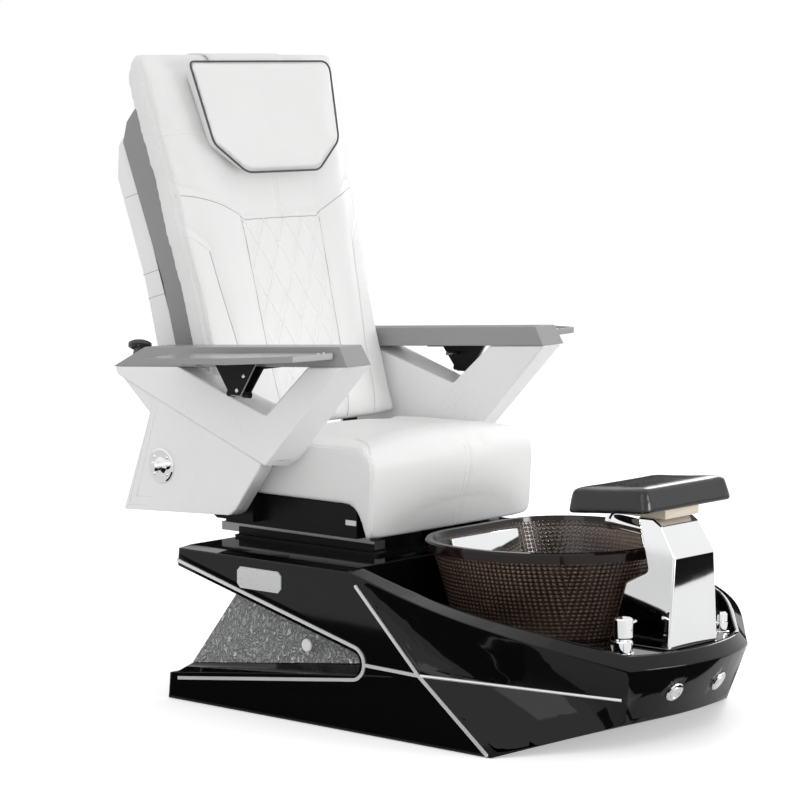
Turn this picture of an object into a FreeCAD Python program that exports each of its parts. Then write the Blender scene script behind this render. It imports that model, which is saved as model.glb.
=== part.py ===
import FreeCAD, Part
import math
import os
import Sketcher
from FreeCAD import Placement, Rotation, Vector

# Pedicure spa chair: a faceted moulded base with a foot basin, and a reclining massage seat on slide rails.
# Millimetres. +Z is up, the sitter looks along -Y, and the sitter's right is -X.
# The origin is on the floor at the middle of the chair's length and width.
# "station" means a place along Y; heights are above the floor.

SIZES = {
    # moulded base, side view and plan
    "base_half_width": 410,
    "deck_height": 340,
    "side_height": 336,
    "deck_bevel": 38,
    "tail_foot_station": 439,
    "tail_lean": 33,
    "shoulder_station": -104,
    "cross_station": -296,
    "cross_height": 144,
    "fold_foot_station": -480,
    "prow_half_top": 206,
    "prow_top_station": -677,
    "prow_top_height": 172,
    "prow_bulge_top": 51,
    "prow_half_foot": 176,
    "prow_foot_station": -645,
    "prow_lift": 55,
    "prow_bulge_foot": 20,
    "crease_share": 0.556,
    "flare_half_width": 404,
    "flare_station": -370,
    "flare_height": 272,
    "turn_half_width": 345,
    "turn_station": -545,
    "turn_height": 228,
    "gunwale_band": 40,
    "gunwale_slope": 14.5,
    "rim_band": 14,
    "rim_rise": 26,
    "well_floor_height": 196,
    "well_back_station": -90,
    "well_lip": 6,
    "well_wall": 30,
    "floor_skin": 14,
    "cavity_half_width": 318,
    "cavity_front_station": -400,
    # side notches with the hammered panels
    "notch_station": -108,
    "notch_height": 147,
    "notch_radius": 24,
    "notch_upper_slope": 13.9,
    "notch_lower_slope": 7.0,
    "notch_depth": 44,
    "notch_sill": 18,
    "heel_low_station": 410,
    "heel_low_height": 60,
    "heel_high_station": 250,
    "heel_high_height": 260,
    "panel_thickness": 6,
    "panel_margin": 2,
    "knob_station": 42,
    "knob_height": 162,
    "knob_radius": 14,
    "knob_length": 16,
    "knob_disc": 5,
    "knob_stem_radius": 5,
    # bright trim and bare badge
    "trim_width": 7,
    "trim_proud": 3,
    "trim_margin": 8,
    "trim_top_station": -121,
    "trim_top_height": 309,
    "badge_station": 155,
    "badge_drop": 47,
    "badge_length": 128,
    "badge_width": 46,
    "badge_notch": 9,
    "badge_thickness": 3,
    # foot basin
    "basin_half_back": 252,
    "basin_half_middle": 276,
    "basin_half_front": 92,
    "basin_back_station": -109,
    "basin_middle_station": -417,
    "basin_front_station": -572,
    "basin_top": 382,
    "basin_rake": 54,
    "basin_back_corner": 168,
    "basin_middle_corner": 280,
    "basin_front_corner": 222,
    "basin_wall": 6,
    "rim_overhang": 13,
    "rim_height": 9,
    "rim_skirt": 13,
    "drain_radius": 22,
    "drain_flange_radius": 34,
    "drain_flange_height": 4,
    "drain_length": 60,
    "drain_tail_radius": 19,
    "drain_nut_radius": 31,
    "drain_nut_height": 5,
    "drain_station": -340,
    # whirlpool jet
    "jet_half_width": 110,
    "jet_sill": 10,
    "jet_brow": 8,
    "jet_depth": 16,
    "jet_neck_radius": 19,
    "pump_radius": 46,
    "pump_length": 118,
    "pump_flange": 8,
    "pump_clearance": 10,
    # chrome column with the footrest
    "column_half_foot": 84,
    "column_half_top": 64,
    "column_front_station": -685,
    "column_shoulder_height": 388,
    "column_brow_station": -647,
    "column_brow_drop": 13,
    "column_crown_front_station": -626,
    "column_crown_back_station": -586,
    "column_crown_rise": 80,
    "column_waist_station": -618,
    "column_waist_height": 354,
    "column_back_station": -564,
    "column_back_height": 326,
    "column_foot_back_station": -528,
    "spout_radius": 16,
    "spout_disc_radius": 20,
    "spout_reach": 112,
    "spout_drop": 40,
    "post_radius": 12,
    "post_station": -618,
    "post_depth": 58,
    "bearer_half_width": 58,
    "bearer_front_station": -652,
    "bearer_back_station": -520,
    "bearer_thickness": 14,
    "footpad_half_width": 152,
    "footpad_length": 204,
    "footpad_station": -571,
    "footpad_height": 50,
    "footpad_draft": 8,
    "footpad_corner": 18,
    "footpad_slope": 4.6,
    # tap and hand spray
    "tap_offset": 168,
    "tap_station": -630,
    "tap_base_radius": 20,
    "tap_flange_radius": 23,
    "tap_flange_height": 4,
    "tap_base_height": 28,
    "tap_neck_radius": 8,
    "tap_ball_radius": 13,
    "tap_ball_rise": 50,
    "tap_cap_radius": 20,
    "tap_cap_rise": 33,
    "tap_cap_height": 42,
    "tap_pin_radius": 3.5,
    "tap_pin_length": 22,
    "tap_axle_radius": 3,
    "spray_station": -630,
    "spray_socket_radius": 17,
    "spray_socket_height": 22,
    "spray_stem_radius": 11,
    "spray_head_radius": 16,
    "spray_head_height": 22,
    # air buttons on the bow
    "button_offset": 76,
    "button_height": 114,
    "button_bezel_radius": 22,
    "button_bezel_proud": 5,
    "button_sleeve_radius": 17,
    "button_sleeve_depth": 20,
    "button_radius": 13,
    "button_length": 22,
    # steel frame and feet inside the base
    "chassis_half_width": 290,
    "chassis_front_station": -300,
    "chassis_back_station": 330,
    "chassis_bar": 40,
    "chassis_lift": 22,
    "foot_radius": 25,
    "foot_disc_height": 10,
    "foot_screw_radius": 6,
    # slide under the seat
    "slide_plate_half_width": 232,
    "slide_plate_front_station": -24,
    "slide_plate_back_station": 400,
    "slide_plate_thickness": 6,
    "rail_offset": 200,
    "rail_half_width": 20,
    "rail_height": 16,
    "rail_wall": 3,
    "rail_front_station": 0,
    "rail_back_station": 400,
    "runner_back_station": 456,
    "runner_top": 28,
    "runner_foot_station": 250,
    "screw_radius": 6,
    "screw_height": 24,
    "screw_front_station": 24,
    "screw_back_station": 300,
    "drive_nut_station": 90,
    "drive_nut_length": 40,
    "drive_nut_half_width": 22,
    "drive_motor_half_width": 34,
    # seat frame
    "seat_frame_half_width": 260,
    "seat_frame_front_station": 12,
    "seat_frame_back_station": 401,
    "seat_frame_low": 37,
    "seat_frame_high": 110,
    "seat_frame_wall": 5,
    # seat cushion
    "seat_half_width": 270,
    "seat_front_station": -84,
    "seat_back_station": 344,
    "seat_crest": 257,
    "seat_flap_low": 39,
    "seat_flap_station": -20,
    "seat_flap_thickness": 27,
    "seat_side_drop": 24,
    "seat_side_setback": 44,
    "seat_seam_inset": 9,
    "seat_seam_band": 22,
    "seat_nose": 46,
    "seat_flap_rise": 105,
    "seat_flap_throat": 34,
    # arm carriers and pivots
    "arm_inner": 290,
    "arm_outer": 370,
    "arm_plate_outer": 362,
    "beam_knee_station": 164,
    "beam_knee_height": 205,
    "beam_toe_station": 177,
    "beam_toe_height": 190,
    "beam_tail_setback": 17,
    "beam_tail_height": 357,
    "beam_end_setback": 8,
    "vee_back_station": 441,
    "vee_crest_station": 172,
    "vee_crest_height": 300,
    "vee_front_station": 51,
    "wing_top_station": 189,
    "wing_top_height": 198,
    "wing_front_station": 273,
    "wing_front_height": 85,
    "wing_foot_station": 290,
    "wing_foot_height": 73,
    "wing_back_station": 618,
    "wing_back_height": 56,
    "wing_waist_station": 534,
    "wing_waist_height": 276,
    "wing_root_station": 400,
    "wing_root_height": 320,
    "pivot_station": 497,
    "pivot_height": 164,
    "pivot_radius": 14,
    "pivot_collar_radius": 30,
    "pivot_disc_radius": 38,
    "pivot_disc_thickness": 5,
    "pivot_knob_radius": 11,
    "pivot_knob_length": 24,
    "carrier_thickness": 16,
    # arm cap and tray
    "cap_inner": 284,
    "cap_outer": 368,
    "cap_front_station": -56,
    "cap_front_top_station": -31,
    "cap_back_station": 645,
    "cap_back_top_station": 548,
    "cap_front_low": 417,
    "cap_back_low": 374,
    "cap_thickness": 43,
    "cap_flank": 8,
    "tray_gap": 3,
    "tray_front_station": -22,
    "tray_tip_station": 0,
    "tray_elbow_station": 130,
    "tray_back_station": 370,
    "tray_tip_reach": 100,
    "tray_reach": 165,
    "tray_thickness": 14,
    "tray_drop": 12,
    "tray_notch": 22,
    "tray_notch_start": 220,
    "hinge_station": 244,
    "hinge_drop": 57.6,
    "hinge_offset": 377,
    "hinge_half_top": 66,
    "hinge_half_foot": 18,
    "hinge_leaf": 4,
    "hinge_knuckle_radius": 7,
    "hinge_bite": 1,
    "hinge_pin_radius": 4,
    "hinge_knuckle_half": 14,
    "hinge_half_length": 32,
    "latch_station": 300,
    "latch_length": 44,
    "latch_width": 16,
    "latch_offset": 440,
    "latch_barrel_radius": 3.5,
    "latch_pin_radius": 1.6,
    "latch_ear": 3,
    "pod_station": 590,
    "pod_radius": 27,
    "pod_tube": 7,
    "pod_rise": 22,
    "pod_foot_half_width": 24,
    "pod_foot_half_length": 18,
    # backrest
    "recline_station": 440,
    "recline_height": 165,
    "recline_radius": 10,
    "recline_half_length": 246,
    "back_lean": 15.6,
    "back_low": 230,
    "back_top": 1058,
    "back_front_station": 370,
    "pad_half_low": 281,
    "pad_half_middle": 292,
    "pad_half_high": 314,
    "pad_depth": 62,
    "pad_crown": 26,
    "pad_edge_drop": 14,
    "pad_edge_inset": 16,
    "pad_hip_rise": 175,
    "pad_arm_rise": 330,
    "pad_waist_rise": 440,
    "pad_shoulder_rise": 560,
    "pad_flare_rise": 600,
    "pad_flare_drop": 100,
    "pad_nose": 16,
    "panel_half_width": 126,
    "band_half_low": 252,
    "band_half_high": 288,
    "band_low": 260,
    "band_top_drop": 102,
    "band_depth": 80,
    "band_wall": 12,
    "band_brow": 88,
    "band_waist_rise": 300,
    "band_bevel": 42,
    "band_bevel_depth": 25,
    "shell_half_low": 240,
    "shell_half_high": 270,
    "shell_top_drop": 170,
    "shell_depth": 74,
    "shell_wall": 8,
    "shell_hip_rise": 60,
    "shell_shoulder_drop": 100,
    "shell_lip_drop": 24,
    "back_frame_offset": 190,
    "back_frame_bar": 24,
    "massage_rail_offset": 110,
    "massage_rail_radius": 8,
    "massage_half_width": 140,
    "massage_low": 340,
    "massage_height": 110,
    "massage_motor_depth": 28,
    # pillow
    "pillow_half_top": 224,
    "pillow_half_shoulder": 204,
    "pillow_half_foot": 115,
    "pillow_top_drop": 18,
    "pillow_shoulder_drop": 192,
    "pillow_foot_drop": 262,
    "pillow_thickness": 46,
    "pillow_corner": 26,
    "pillow_draw": 44,
    "flap_half_width": 120,
    "flap_thickness": 4,
    "flap_drop": 90,
    "flap_tail": 40,
    # clearances
    "running_gap": 0.05,
    "rest_gap": 0.3,
    "side_gap": 0.5,
}


# the sizes above that are heights over the deck, so that what stands on it rises with it
ON_DECK = ("runner_top", "screw_height", "seat_frame_low", "seat_frame_high", "seat_crest", "seat_flap_low",
           "pivot_height", "beam_knee_height", "beam_toe_height", "beam_tail_height", "vee_crest_height",
           "wing_top_height", "wing_front_height", "wing_foot_height", "wing_back_height", "wing_waist_height",
           "wing_root_height", "cap_front_low", "cap_back_low", "recline_height", "back_low", "back_top",
           "band_low", "massage_low")
# what hangs from the top of the backrest, by its drop
UNDER_BACK_TOP = ("band_top", "shell_top", "pillow_top", "pillow_shoulder", "pillow_foot")


class Size:
    """A length in millimetres that carries its formula in the sheet."""

    def __init__(self, value, formula):
        self.value = float(value)
        self.formula = formula

    def __add__(self, other):
        return join(self, "+", other, num(self) + num(other))

    def __radd__(self, other):
        return join(other, "+", self, num(other) + num(self))

    def __sub__(self, other):
        return join(self, "-", other, num(self) - num(other))

    def __rsub__(self, other):
        return join(other, "-", self, num(other) - num(self))

    def __mul__(self, other):
        return join(self, "*", other, num(self) * num(other))

    def __rmul__(self, other):
        return join(other, "*", self, num(other) * num(self))

    def __truediv__(self, other):
        return join(self, "/", other, num(self) / num(other))

    def __neg__(self):
        return Size(-self.value, "(-1 * " + self.formula + ")")


def num(length):
    return length.value if isinstance(length, Size) else float(length)


def text(length):
    return length.formula if isinstance(length, Size) else repr(float(length))


def join(left, sign, right, value):
    return Size(value, "(" + text(left) + " " + sign + " " + text(right) + ")")


class Dims:
    """The driving dimensions, one attribute for each cell."""


doc = FreeCAD.newDocument("spa_chair")
sheet = doc.addObject("Spreadsheet::Sheet", "dims")
dims = Dims()
for row, (name, value) in enumerate(SIZES.items(), start=1):
    sheet.set("A" + str(row), name)
    sheet.set("B" + str(row), str(value))
    sheet.setAlias("B" + str(row), name)
    setattr(dims, name, Size(value, "dims." + name))
for name in ON_DECK:
    setattr(dims, name, dims.deck_height + getattr(dims, name))
for name in UNDER_BACK_TOP:
    setattr(dims, name, dims.back_top - getattr(dims, name + "_drop"))
dims.badge_height = dims.deck_height - dims.badge_drop
dims.column_crown_height = dims.basin_top + dims.column_crown_rise
doc.recompute()

nodes = []
RIGHT = -1
LEFT = 1
SIDES = {"right": RIGHT, "left": LEFT}


# Helpers

def vec(x, y, z):
    return Vector(num(x), num(y), num(z))


def keep(item, label):
    """Name a finished sub-part."""
    item.Label = label
    nodes.append(item)
    return item


def bind(item, path, length):
    item.setExpression(path, text(length))


def locate(item, x=0, y=0, z=0, rotation=None):
    """Place an item, with its position bound to the sheet."""
    item.Placement = Placement(vec(x, y, z), rotation or Rotation())
    for axis, length in (("x", x), ("y", y), ("z", z)):
        if isinstance(length, Size):
            bind(item, "Placement.Base." + axis, length)
    return item


def box(name, x, y, z, length, width, height):
    item = doc.addObject("Part::Box", name)
    for path, size in (("Length", length), ("Width", width), ("Height", height)):
        setattr(item, path, num(size))
        bind(item, path, size)
    return locate(item, x, y, z)


def cylinder(name, radius, height, x, y, z, rotation=None):
    item = doc.addObject("Part::Cylinder", name)
    item.Radius = num(radius)
    item.Height = num(height)
    bind(item, "Radius", radius)
    bind(item, "Height", height)
    return locate(item, x, y, z, rotation)


def cut(name, base, tool):
    item = doc.addObject("Part::Cut", name)
    item.Base = base
    item.Tool = tool
    return item


def fuse(name, items):
    item = doc.addObject("Part::MultiFuse", name)
    item.Shapes = items
    return item


def solid(name, shape):
    item = doc.addObject("Part::Feature", name)
    item.Shape = shape
    return item


def origin_plane(body, role):
    for plane in body.Origin.OriginFeatures:
        if plane.Role == role:
            return plane
    raise ValueError("no plane " + role)


def outline(body, name, role, points, offset=0, holes=()):
    """A closed polygon with every corner bound to the sheet, and round holes."""
    sketch = body.newObject("Sketcher::SketchObject", name)
    sketch.AttachmentSupport = [(origin_plane(body, role), "")]
    sketch.MapMode = "FlatFace"
    sketch.AttachmentOffset = Placement(Vector(0, 0, num(offset)), Rotation())
    if isinstance(offset, Size):
        bind(sketch, "AttachmentOffset.Base.z", offset)
    corners = [Vector(num(u), num(v), 0) for u, v in points]
    count = len(corners)
    for index in range(count):
        sketch.addGeometry(Part.LineSegment(corners[index], corners[(index + 1) % count]), False)
    for index in range(count):
        sketch.addConstraint(Sketcher.Constraint("Coincident", index, 2, (index + 1) % count, 1))
    for index, corner in enumerate(points):
        for kind, length in zip(("DistanceX", "DistanceY"), corner):
            place = sketch.addConstraint(Sketcher.Constraint(kind, -1, 1, index, 1, num(length)))
            if isinstance(length, Size):
                bind(sketch, "Constraints[" + str(place) + "]", length)
    for u, v, radius in holes:
        ring = sketch.addGeometry(Part.Circle(Vector(num(u), num(v), 0), Vector(0, 0, 1), num(radius)), False)
        for kind, length in (("DistanceX", u), ("DistanceY", v)):
            place = sketch.addConstraint(Sketcher.Constraint(kind, -1, 1, ring, 3, num(length)))
            if isinstance(length, Size):
                bind(sketch, "Constraints[" + str(place) + "]", length)
        place = sketch.addConstraint(Sketcher.Constraint("Radius", ring, num(radius)))
        bind(sketch, "Constraints[" + str(place) + "]", radius)
    return sketch


def pad(body, name, sketch, length):
    item = body.newObject("PartDesign::Pad", name)
    item.Profile = sketch
    item.Length = num(length)
    bind(item, "Length", length)
    body.Tip = item
    return item


def plate(name, role, points, start, thickness, holes=()):
    """A flat piece: one outline padded from start by its thickness along the plane's normal."""
    body = doc.addObject("PartDesign::Body", name)
    sketch = outline(body, name + "_outline", role, points, start, holes)
    pad(body, name + "_pad", sketch, thickness)
    return body


def side_plate(name, side, points, inner, thickness, holes=()):
    """A plate in the side view whose inner face is at |x| = inner on the given side."""
    start = inner if side == LEFT else -(inner + thickness)
    return plate(name, "YZ_Plane", points, start, thickness, holes)


def turned(name, profile, x, y, z, rotation=None):
    """A revolved piece about its own Z axis from (radius, height) corners."""
    body = doc.addObject("PartDesign::Body", name)
    sketch = outline(body, name + "_profile", "XZ_Plane", profile)
    item = body.newObject("PartDesign::Revolution", name + "_turn")
    item.Profile = sketch
    item.ReferenceAxis = (sketch, ["V_Axis"])
    item.Angle = 360
    body.Tip = item
    return locate(body, x, y, z, rotation)


def line(start, end):
    return Part.LineSegment(start, end).toShape()


def arc(start, middle, end):
    return Part.Arc(start, middle, end).toShape()


def faces_to_solid(faces):
    shell = Part.makeShell(faces)
    shell.sewShape()
    result = Part.makeSolid(Part.Shell(shell.Faces))
    if result.Volume < 0:
        result.reverse()
    return result


def rounded(points, radius, lift=None):
    """A closed wire through plan corners with an arc at each, raised to a level."""
    corners = [Vector(x, y, 0) for x, y in points]
    count = len(corners)
    radii = radius if isinstance(radius, list) else [radius] * count
    edges = []
    starts = []
    for index, corner in enumerate(corners):
        before = (corners[index - 1] - corner).normalize()
        after = (corners[(index + 1) % count] - corner).normalize()
        half = before.getAngle(after) / 2
        back = radii[index] / math.tan(half)
        middle = corner + (before + after).normalize() * (radii[index] / math.sin(half) - radii[index])
        starts.append((corner + before * back, middle, corner + after * back))
    for index, (enter, middle, leave) in enumerate(starts):
        edges.append(arc(enter, middle, leave))
        edges.append(line(leave, starts[(index + 1) % count][0]))
    wire = Part.Wire(edges)
    if lift is not None:
        wire.translate(Vector(0, 0, lift))
    return wire


def drawn_in(points, inset):
    """Plan corners moved inward so that each side keeps its direction and lies inset further in."""
    corners = [Vector(x, y, 0) for x, y in points]
    moved = []
    for index, corner in enumerate(corners):
        before = (corners[index - 1] - corner).normalize()
        after = (corners[(index + 1) % len(corners)] - corner).normalize()
        half = before.getAngle(after) / 2
        place = corner + (before + after).normalize() * (inset / math.sin(half))
        moved.append((place.x, place.y))
    return moved


# Moulded base

def tail_station(height):
    return num(dims.tail_foot_station) - num(dims.tail_lean) * height / num(dims.side_height)


def circle_bow(half, corner_station, bulge, height):
    """An arc across the bow from the right corner to the left one."""
    return arc(vec(-half, corner_station, height), vec(0, corner_station - bulge, height),
               vec(half, corner_station, height))


def hull_corners(side):
    """The named corners of one side of the moulding."""
    wide = side * num(dims.base_half_width)
    top_inner = side * (num(dims.base_half_width) - num(dims.deck_bevel))
    corner = {}
    corner["tail_foot"] = vec(wide, dims.tail_foot_station, 0)
    corner["tail_head"] = vec(wide, tail_station(num(dims.side_height)), dims.side_height)
    corner["deck_tail"] = vec(top_inner, tail_station(num(dims.deck_height)), dims.deck_height)
    corner["shoulder"] = vec(wide, dims.shoulder_station, dims.side_height)
    corner["deck_front"] = vec(top_inner, dims.shoulder_station, dims.deck_height)
    corner["cross"] = vec(wide, dims.cross_station, dims.cross_height)
    corner["fold_foot"] = vec(wide, dims.fold_foot_station, 0)
    corner["prow_top"] = vec(side * num(dims.prow_half_top), dims.prow_top_station, dims.prow_top_height)
    corner["prow_foot"] = vec(side * num(dims.prow_half_foot), dims.prow_foot_station, dims.prow_lift)
    share = num(dims.crease_share)
    corner["crease_end"] = corner["prow_top"] * (1 - share) + corner["prow_foot"] * share
    corner["flare"] = vec(side * num(dims.flare_half_width), dims.flare_station, dims.flare_height)
    corner["turn"] = vec(side * num(dims.turn_half_width), dims.turn_station, dims.turn_height)
    band = num(dims.gunwale_band)
    corner["rim_flare"] = corner["flare"] + Vector(-side * band, -0.3 * band, 0.15 * band)
    corner["rim_turn"] = corner["turn"] + Vector(-side * 0.65 * band, 0.3 * band, 0.45 * band)
    corner["rim_front"] = corner["prow_top"] + vec(-side * num(dims.rim_band), dims.rim_band, dims.rim_rise)
    return corner


def sheer_line(points):
    """A smooth edge that leaves the deck straight ahead and turns in to the bow."""
    curve = Part.BSplineCurve()
    fall = math.tan(math.radians(num(dims.gunwale_slope)))
    ahead = Vector(0, -1, -fall if points[0].z != points[-1].z else 0)
    last = (points[-1] - points[-2]).normalize()
    curve.interpolate(Points=points, InitialTangent=ahead, FinalTangent=last)
    return curve.toShape()


def hull_side(corner):
    """The faces of one side: flat side, two bow facets, rim band and deck bevel."""
    flat = Part.Face(Part.makePolygon([corner[name] for name in (
        "fold_foot", "tail_foot", "tail_head", "shoulder", "cross", "fold_foot")]))
    gunwale = sheer_line([corner[name] for name in ("shoulder", "flare", "turn", "prow_top")])
    rim = sheer_line([corner[name] for name in ("deck_front", "rim_flare", "rim_turn", "rim_front")])
    crease = line(corner["cross"], corner["crease_end"])
    upper = Part.makeRuledSurface(gunwale, crease)
    lower = Part.makeRuledSurface(crease, line(corner["fold_foot"], corner["prow_foot"]))
    band = Part.makeRuledSurface(gunwale, rim)
    bevel = Part.makeRuledSurface(line(corner["shoulder"], corner["tail_head"]),
                                  line(corner["deck_front"], corner["deck_tail"]))
    return [flat, upper, lower, band, bevel], rim


def make_hull():
    right = hull_corners(RIGHT)
    left = hull_corners(LEFT)
    faces, rim_right = hull_side(right)
    more, rim_left = hull_side(left)
    faces = faces + more
    share = num(dims.crease_share)
    top = circle_bow(num(dims.prow_half_top), num(dims.prow_top_station), num(dims.prow_bulge_top),
                     num(dims.prow_top_height))
    middle_bulge = num(dims.prow_bulge_top) * (1 - share) + num(dims.prow_bulge_foot) * share
    crease = circle_bow(abs(right["crease_end"].x), right["crease_end"].y, middle_bulge, right["crease_end"].z)
    foot = circle_bow(num(dims.prow_half_foot), num(dims.prow_foot_station), num(dims.prow_bulge_foot),
                      num(dims.prow_lift))
    rim_front = circle_bow(abs(right["rim_front"].x), right["rim_front"].y, num(dims.prow_bulge_top) * 0.9,
                           right["rim_front"].z)
    rim_chord = line(right["rim_front"], left["rim_front"])
    faces.append(Part.makeRuledSurface(top, crease))
    faces.append(Part.makeRuledSurface(crease, foot))
    faces.append(Part.makeRuledSurface(rim_front, top))
    faces.append(Part.Face(Part.Wire([rim_front, rim_chord])))
    faces.append(Part.makeRuledSurface(rim_right, rim_left))
    faces.append(Part.makeRuledSurface(line(right["fold_foot"], left["fold_foot"]), foot))
    faces.append(Part.Face(Part.makePolygon([
        right["deck_front"], right["deck_tail"], left["deck_tail"], left["deck_front"], right["deck_front"]])))
    faces.append(Part.Face(Part.makePolygon([
        right["fold_foot"], right["tail_foot"], left["tail_foot"], left["fold_foot"], right["fold_foot"]])))
    faces.append(Part.Face(Part.makePolygon([
        right["tail_foot"], right["tail_head"], right["deck_tail"], left["deck_tail"], left["tail_head"],
        left["tail_foot"], right["tail_foot"]])))
    return faces_to_solid(faces)


def make_well():
    """The open foot well: the plan inside the rim, cut down to the well floor."""
    corner = hull_corners(RIGHT)
    lip = num(dims.well_lip)
    back = num(dims.well_back_station)
    side_x = corner["deck_front"].x + lip
    height = num(dims.well_floor_height)
    front = corner["rim_front"] + Vector(lip, lip, 0)
    flare = corner["rim_flare"] + Vector(lip, 0, 0)
    turn = corner["rim_turn"] + Vector(lip, lip, 0)
    bow = num(dims.prow_bulge_top) * 0.9
    right = [Vector(point.x, point.y, height) for point in (Vector(side_x, back, 0), flare, turn, front)]
    left = [Vector(-point.x, point.y, height) for point in right]
    edges = [sheer_line(right), arc(right[-1], Vector(0, front.y - bow, height), left[-1]),
             sheer_line(left), line(left[0], right[0])]
    return Part.Face(Part.Wire(edges)).extrude(vec(0, 0, dims.deck_height))


def notch_lines(reach, grow=0.0):
    """Corners of the side notch in the side view: upper end, tangents round the nose, lower end."""
    upper = math.radians(num(dims.notch_upper_slope))
    lower = math.radians(num(dims.notch_lower_slope))
    radius = num(dims.notch_radius) + grow
    nose = Vector(0, num(dims.notch_station), num(dims.notch_height))
    high = nose + Vector(0, -math.sin(upper), math.cos(upper)) * radius
    low = nose + Vector(0, -math.sin(lower), -math.cos(lower)) * radius
    tip = nose + Vector(0, -radius, 0)
    far_high = high + Vector(0, 1, math.tan(upper)) * (reach - high.y)
    far_low = low + Vector(0, 1, -math.tan(lower)) * (reach - low.y)
    return far_high, high, tip, low, far_low


def notch_face(reach, grow=0.0):
    far_high, high, tip, low, far_low = notch_lines(reach, grow)
    return Part.Face(Part.Wire([line(far_high, high), arc(high, tip, low), line(low, far_low),
                                line(far_low, far_high)]))


def heel_face(reach):
    """The open heel behind the pedestal, between plinth and overhang, in the side view."""
    low = vec(0, dims.heel_low_station, dims.heel_low_height)
    high = vec(0, dims.heel_high_station, dims.heel_high_height)
    far_high = notch_lines(reach)[0]
    far_low = notch_lines(reach)[4]
    return Part.Face(Part.makePolygon([low, high, far_high, far_low, low]))


def make_sill(reach, lift=0.0):
    """The lip of the right notch, climbing inward from the lower edge to the panel; lift raises it."""
    low, far_low = notch_lines(reach)[3:]
    run = far_low - low
    start = low - run * 0.2 + vec(-dims.base_half_width, 0, lift)
    inner = start + vec(dims.notch_depth, 0, 0)
    face = Part.Face(Part.makePolygon([start, inner, inner + vec(0, 0, dims.notch_sill), start]))
    return face.extrude(run * 1.2)


def make_base_shell():
    shape = make_hull().cut(make_well())
    width = num(dims.base_half_width)
    reach = num(dims.tail_foot_station) + 30
    inner = width - num(dims.notch_depth)
    notch = notch_face(reach)
    notch_tool = notch.extrude(Vector(num(dims.notch_depth) + 20, 0, 0))
    for side in (RIGHT, LEFT):
        sill = make_sill(num(dims.heel_low_station))
        if side == LEFT:
            sill = sill.mirror(Vector(0, 0, 0), Vector(1, 0, 0))
        tool = notch_tool.copy()
        tool.translate(Vector(inner if side == LEFT else -inner - num(dims.notch_depth) - 20, 0, 0))
        shape = shape.cut(tool).fuse(tool.common(sill))
    shape = shape.removeSplitter()
    heel = heel_face(reach).extrude(Vector(2 * width + 40, 0, 0))
    heel.translate(Vector(-width - 20, 0, 0))
    shape = shape.cut(heel)
    shape = shape.cut(make_cavity())
    drain = Part.makeCylinder(num(dims.drain_radius + dims.side_gap), 2 * num(dims.drain_length),
                              vec(0, dims.drain_station, dims.well_floor_height - dims.drain_length))
    shape = shape.cut(drain)
    neck = Part.makeCylinder(num(dims.jet_neck_radius + dims.side_gap), 100,
                             vec(0, dims.well_back_station - dims.well_wall, neck_height()),
                             Vector(0, 1, 0))
    shape = shape.cut(neck)
    for side in (RIGHT, LEFT):
        place = button_place(side)
        hole = Part.makeCylinder(num(dims.button_sleeve_radius + dims.side_gap), 60, Vector(0, 0, -50))
        seat = Part.makeCylinder(num(dims.button_bezel_radius + dims.side_gap), 10)
        for tool in (hole, seat):
            tool.Placement = place
            shape = shape.cut(tool)
    return solid("base_shell", shape)


def make_cavity():
    """The hollow under the well floor and the deck, open at the bottom."""
    skin = num(dims.floor_skin)
    front = num(dims.cavity_front_station)
    wall = num(dims.well_back_station + dims.well_wall)
    heel_low = vec(0, dims.heel_low_station, dims.heel_low_height)
    heel_high = vec(0, dims.heel_high_station, dims.heel_high_height)
    inward = Vector(0, -1.6 * skin, -0.6 * skin)
    low = heel_low + inward
    high = heel_high + inward
    ceiling = num(dims.deck_height) - skin
    points = [Vector(0, front, -1), Vector(0, front, num(dims.well_floor_height) - skin),
              Vector(0, wall, num(dims.well_floor_height) - skin), Vector(0, wall, ceiling),
              Vector(0, high.y - 50, ceiling), high, low, Vector(0, low.y, -1)]
    face = Part.Face(Part.makePolygon(points + [points[0]]))
    shape = face.extrude(Vector(2 * num(dims.cavity_half_width), 0, 0))
    shape.translate(Vector(-num(dims.cavity_half_width), 0, 0))
    return shape


def button_place(side):
    """Where an air button sits: on the leaning bow panel, its axis square to it and outward."""
    share = ((num(dims.prow_top_height) - num(dims.button_height))
             / (num(dims.prow_top_height) - num(dims.prow_lift)))
    half = num(dims.prow_half_top) * (1 - share) + num(dims.prow_half_foot) * share
    corner = num(dims.prow_top_station) * (1 - share) + num(dims.prow_foot_station) * share
    bulge = num(dims.prow_bulge_top) * (1 - share) + num(dims.prow_bulge_foot) * share
    radius = (half * half + bulge * bulge) / (2 * bulge)
    offset = num(dims.button_offset)
    station = corner - bulge + radius - math.sqrt(radius * radius - offset * offset)
    swing = math.degrees(math.asin(offset / radius))
    rise = num(dims.prow_top_height) - num(dims.prow_lift)
    run = (num(dims.prow_foot_station) - num(dims.prow_bulge_foot)
           - num(dims.prow_top_station) + num(dims.prow_bulge_top))
    lean = math.degrees(math.atan2(run, rise))
    turn = Rotation(Vector(0, 0, 1), side * swing).multiply(Rotation(Vector(1, 0, 0), 90 + lean))
    return Placement(Vector(side * offset, station, num(dims.button_height)), turn)


def strip_segment(start, end, width, depth):
    """A flat bar along a line in the side view, round at both ends."""
    direction = (end - start).normalize()
    across = Vector(0, -direction.z, direction.y) * (width / 2)
    quad = Part.Face(Part.makePolygon([start + across, end + across, end - across, start - across,
                                       start + across]))
    bar = quad.extrude(Vector(-depth, 0, 0))
    for place in (start, end):
        bar = bar.fuse(Part.makeCylinder(width / 2, depth, place, Vector(-1, 0, 0)))
    return bar


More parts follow.
